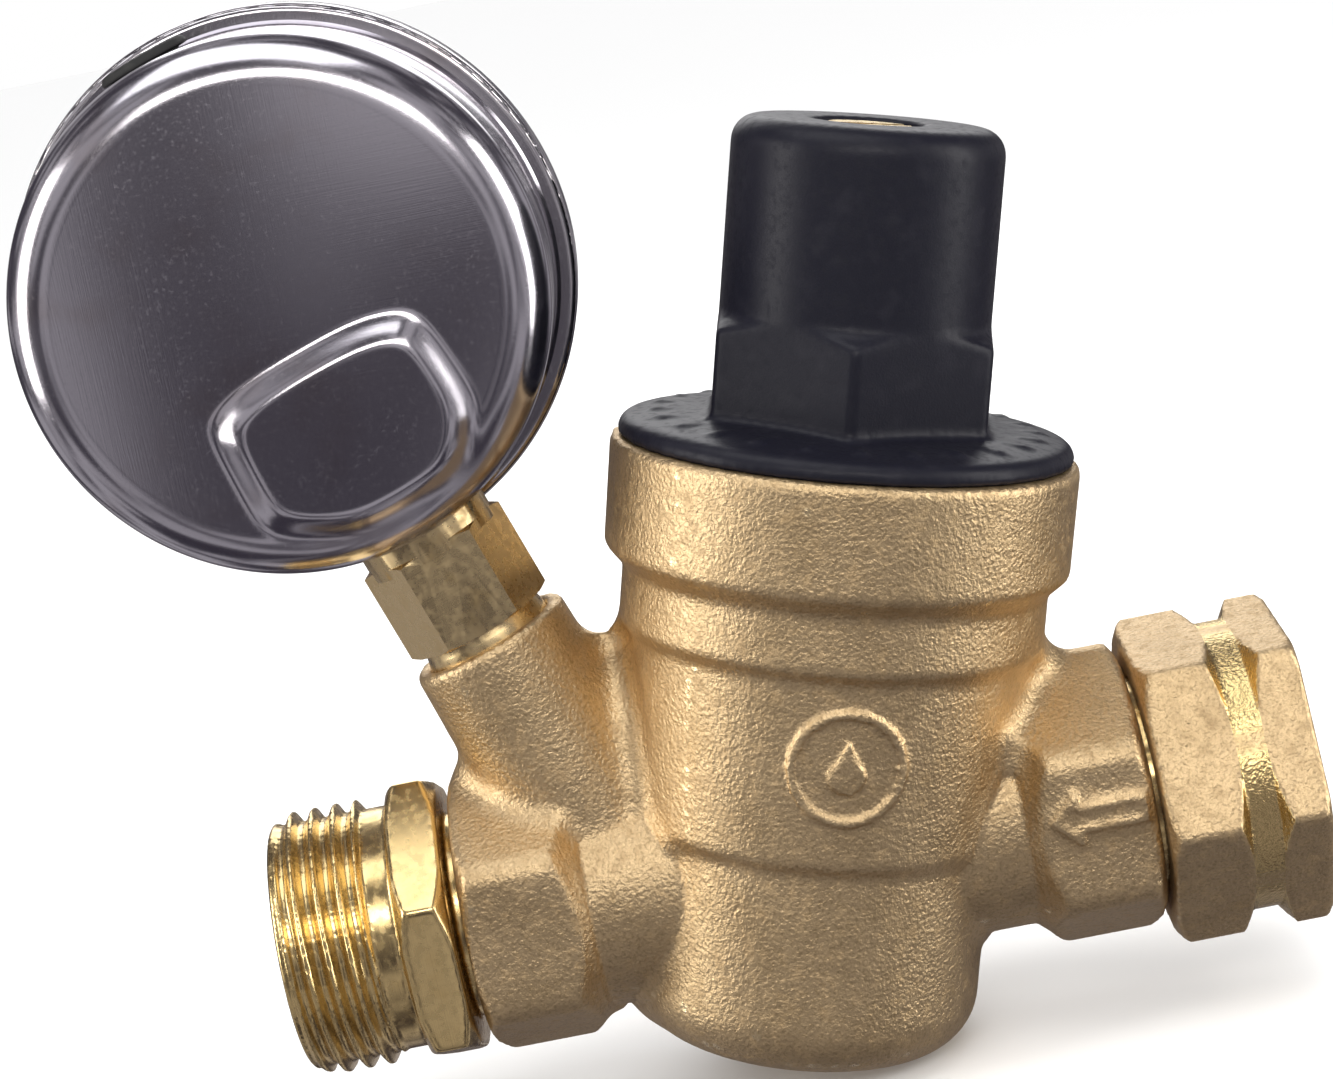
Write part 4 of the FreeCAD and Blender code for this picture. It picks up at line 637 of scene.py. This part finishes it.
for step in range(STEPS + 1):
    around = START - SWEEP * step / STEPS
    tick_in, half = SHORT_TICK if step % LONG_EVERY else LONG_TICK
    base = len(points)
    for lift in (PRINT_LOW, PRINT_HIGH):
        points += [dial_point(tick_in, around - half, lift), dial_point(TICK_OUT, around - half, lift),
                   dial_point(TICK_OUT, around + half, lift), dial_point(tick_in, around + half, lift)]
    faces += [[base + corner for corner in face] for face in (
        (0, 3, 2, 1), (4, 5, 6, 7), (0, 1, 5, 4), (1, 2, 6, 5), (2, 3, 7, 6), (3, 0, 4, 7))]
for step in range(0, STEPS + 1, NUMBER_EVERY):
    letters = bpy.data.curves.new("number", "FONT")
    letters.body = str(FULL_SCALE * step // STEPS)
    letters.size, letters.extrude = NUMBER_SIZE, NUMBER_DEPTH
    letters.align_x = letters.align_y = "CENTER"
    holder = bpy.data.objects.new("number", letters)
    shape = holder.to_mesh()
    turn = math.radians(START - SWEEP * step / STEPS)
    middle = Vector((NUMBER_RADIUS * math.cos(turn), NUMBER_RADIUS * math.sin(turn),
                     DIAL_TOP + NUMBER_LIFT))
    base = len(points)
    points += [DIAL @ (middle + corner.co) for corner in shape.vertices]
    faces += [[base + corner for corner in face.vertices] for face in shape.polygons]
    holder.to_mesh_clear()
    bpy.data.objects.remove(holder)
marks = new_piece("dial_marks", [tuple(point) for point in points], faces, "housing",
                  FINISHES["pointer_black"], 30.0)

# ------------------------------------------------------------------ camera, floor and light
CAMERA_TARGET = CROSSING + Vector((-8.5, 0.0, 34.0))
CAMERA_AZIMUTH, CAMERA_ELEVATION, CAMERA_ROLL = (math.radians(angle) for angle in (1.51, 11.10, -11.43))
CAMERA_DISTANCE, LENS_MM = 322.1, 87.4

back = Vector((math.sin(CAMERA_AZIMUTH) * math.cos(CAMERA_ELEVATION),
               -math.cos(CAMERA_AZIMUTH) * math.cos(CAMERA_ELEVATION), math.sin(CAMERA_ELEVATION)))
level_right = (-back).cross(ROW_Z).normalized()
level_up = level_right.cross(-back)
right = level_right * math.cos(CAMERA_ROLL) + level_up * math.sin(CAMERA_ROLL)
up = level_up * math.cos(CAMERA_ROLL) - level_right * math.sin(CAMERA_ROLL)
camera = bpy.data.objects.new("camera", bpy.data.cameras.new("camera"))
camera.data.lens = LENS_MM
camera.data.clip_start, camera.data.clip_end = 0.01, 20.0
camera.matrix_world = Matrix.Translation((CAMERA_TARGET + back * CAMERA_DISTANCE) * MM) @ Matrix(
    (right, up, back)).transposed().to_4x4()
bpy.context.scene.collection.objects.link(camera)
bpy.context.scene.camera = camera

# White to the camera, even for diffuse light, and in dim soft zones for reflections.
SKY_DARK, SKY_LIGHT, SKY_FILL = (0.050, 0.044, 0.058, 1), (0.44, 0.42, 0.44, 1), (1.14, 1.14, 1.14, 1)
world = bpy.data.worlds.new("studio")
world.use_nodes = True
tree = world.node_tree
rays = tree.nodes.new("ShaderNodeLightPath")
backdrop = tree.nodes["Background"]
tone = backdrop.inputs["Color"]
sky = tree.nodes.new("ShaderNodeTexCoord")
clouds = tree.nodes.new("ShaderNodeTexNoise")
clouds.inputs["Scale"].default_value = 2.7
clouds.inputs["Detail"].default_value = 1.0
clouds.inputs["Distortion"].default_value = 1.1
tree.links.new(sky.outputs["Generated"], clouds.inputs["Vector"])
zones = tree.nodes.new("ShaderNodeMapRange")
zones.interpolation_type = "SMOOTHSTEP"
zones.inputs["From Min"].default_value, zones.inputs["From Max"].default_value = 0.43, 0.60
tree.links.new(clouds.outputs["Fac"], zones.inputs["Value"])
studio = tree.nodes.new("ShaderNodeMix")
studio.data_type = "RGBA"
studio.inputs["A"].default_value = SKY_DARK
studio.inputs["B"].default_value = SKY_LIGHT
tree.links.new(zones.outputs["Result"], studio.inputs["Factor"])
for source, color in (("Is Glossy Ray", studio.outputs["Result"]), ("Is Camera Ray", (1, 1, 1, 1))):
    mix = tree.nodes.new("ShaderNodeMix")
    mix.data_type = "RGBA"
    mix.inputs["A"].default_value = SKY_FILL
    if isinstance(color, tuple):
        mix.inputs["B"].default_value = color
    else:
        tree.links.new(color, mix.inputs["B"])
    tree.links.new(rays.outputs[source], mix.inputs["Factor"])
    if tone.is_linked:
        tree.links.new(tone.links[0].from_socket, mix.inputs["A"])
    tree.links.new(mix.outputs["Result"], tone)
bpy.context.scene.world = world
bpy.context.scene.view_settings.view_transform = "Standard"

FLOOR_GAP, FLOOR_SIZE = 0.0002, 6.0
ground = bmesh.new()
bmesh.ops.create_grid(ground, x_segments=1, y_segments=1, size=FLOOR_SIZE)
ground_mesh = bpy.data.meshes.new("floor")
ground.to_mesh(ground_mesh)
ground.free()
floor_piece = bpy.data.objects.new("floor", ground_mesh)
floor_piece.location = (CROSSING.x * MM, 0, CAD_BOX[0][2] - FLOOR_GAP)
bpy.context.scene.collection.objects.link(floor_piece)
paper = Finish("pale_paper", (0.90, 0.90, 0.90), 0.0, 0.9)
paper.bump(paper.noise(2.0), 0.01)
dress(floor_piece, paper.done())
# The paper would turn the whole back of the gauge white, and the photo's back is dark.
floor_piece.visible_glossy = False


def softbox(name, place, width, height, power, warmth=(1, 1, 1)):
    """Area light aimed at the middle of the object."""
    light = bpy.data.lights.new(name, "AREA")
    light.shape, light.size, light.size_y = "RECTANGLE", width, height
    light.energy, light.color = power, warmth
    holder = bpy.data.objects.new(name, light)
    aim = CAMERA_TARGET * MM
    holder.location = aim + Vector(place)
    holder.rotation_euler = (aim - holder.location).to_track_quat("-Z", "Y").to_euler()
    bpy.context.scene.collection.objects.link(holder)


softbox("left_box", (-0.60, -0.12, 0.14), 0.26, 0.50, 2.1, (1.0, 0.97, 0.93))
softbox("right_box", (0.62, -0.12, 0.06), 0.26, 0.60, 2.6, (1.0, 0.98, 0.95))
softbox("top_box", (-0.05, -0.10, 0.60), 0.60, 0.40, 1.6)
softbox("front_box", (0.05, -0.75, 0.42), 0.80, 0.20, 2.9, (1.0, 0.97, 0.93))
softbox("back_box", (0.05, 0.70, 0.35), 0.60, 0.40, 1.6)
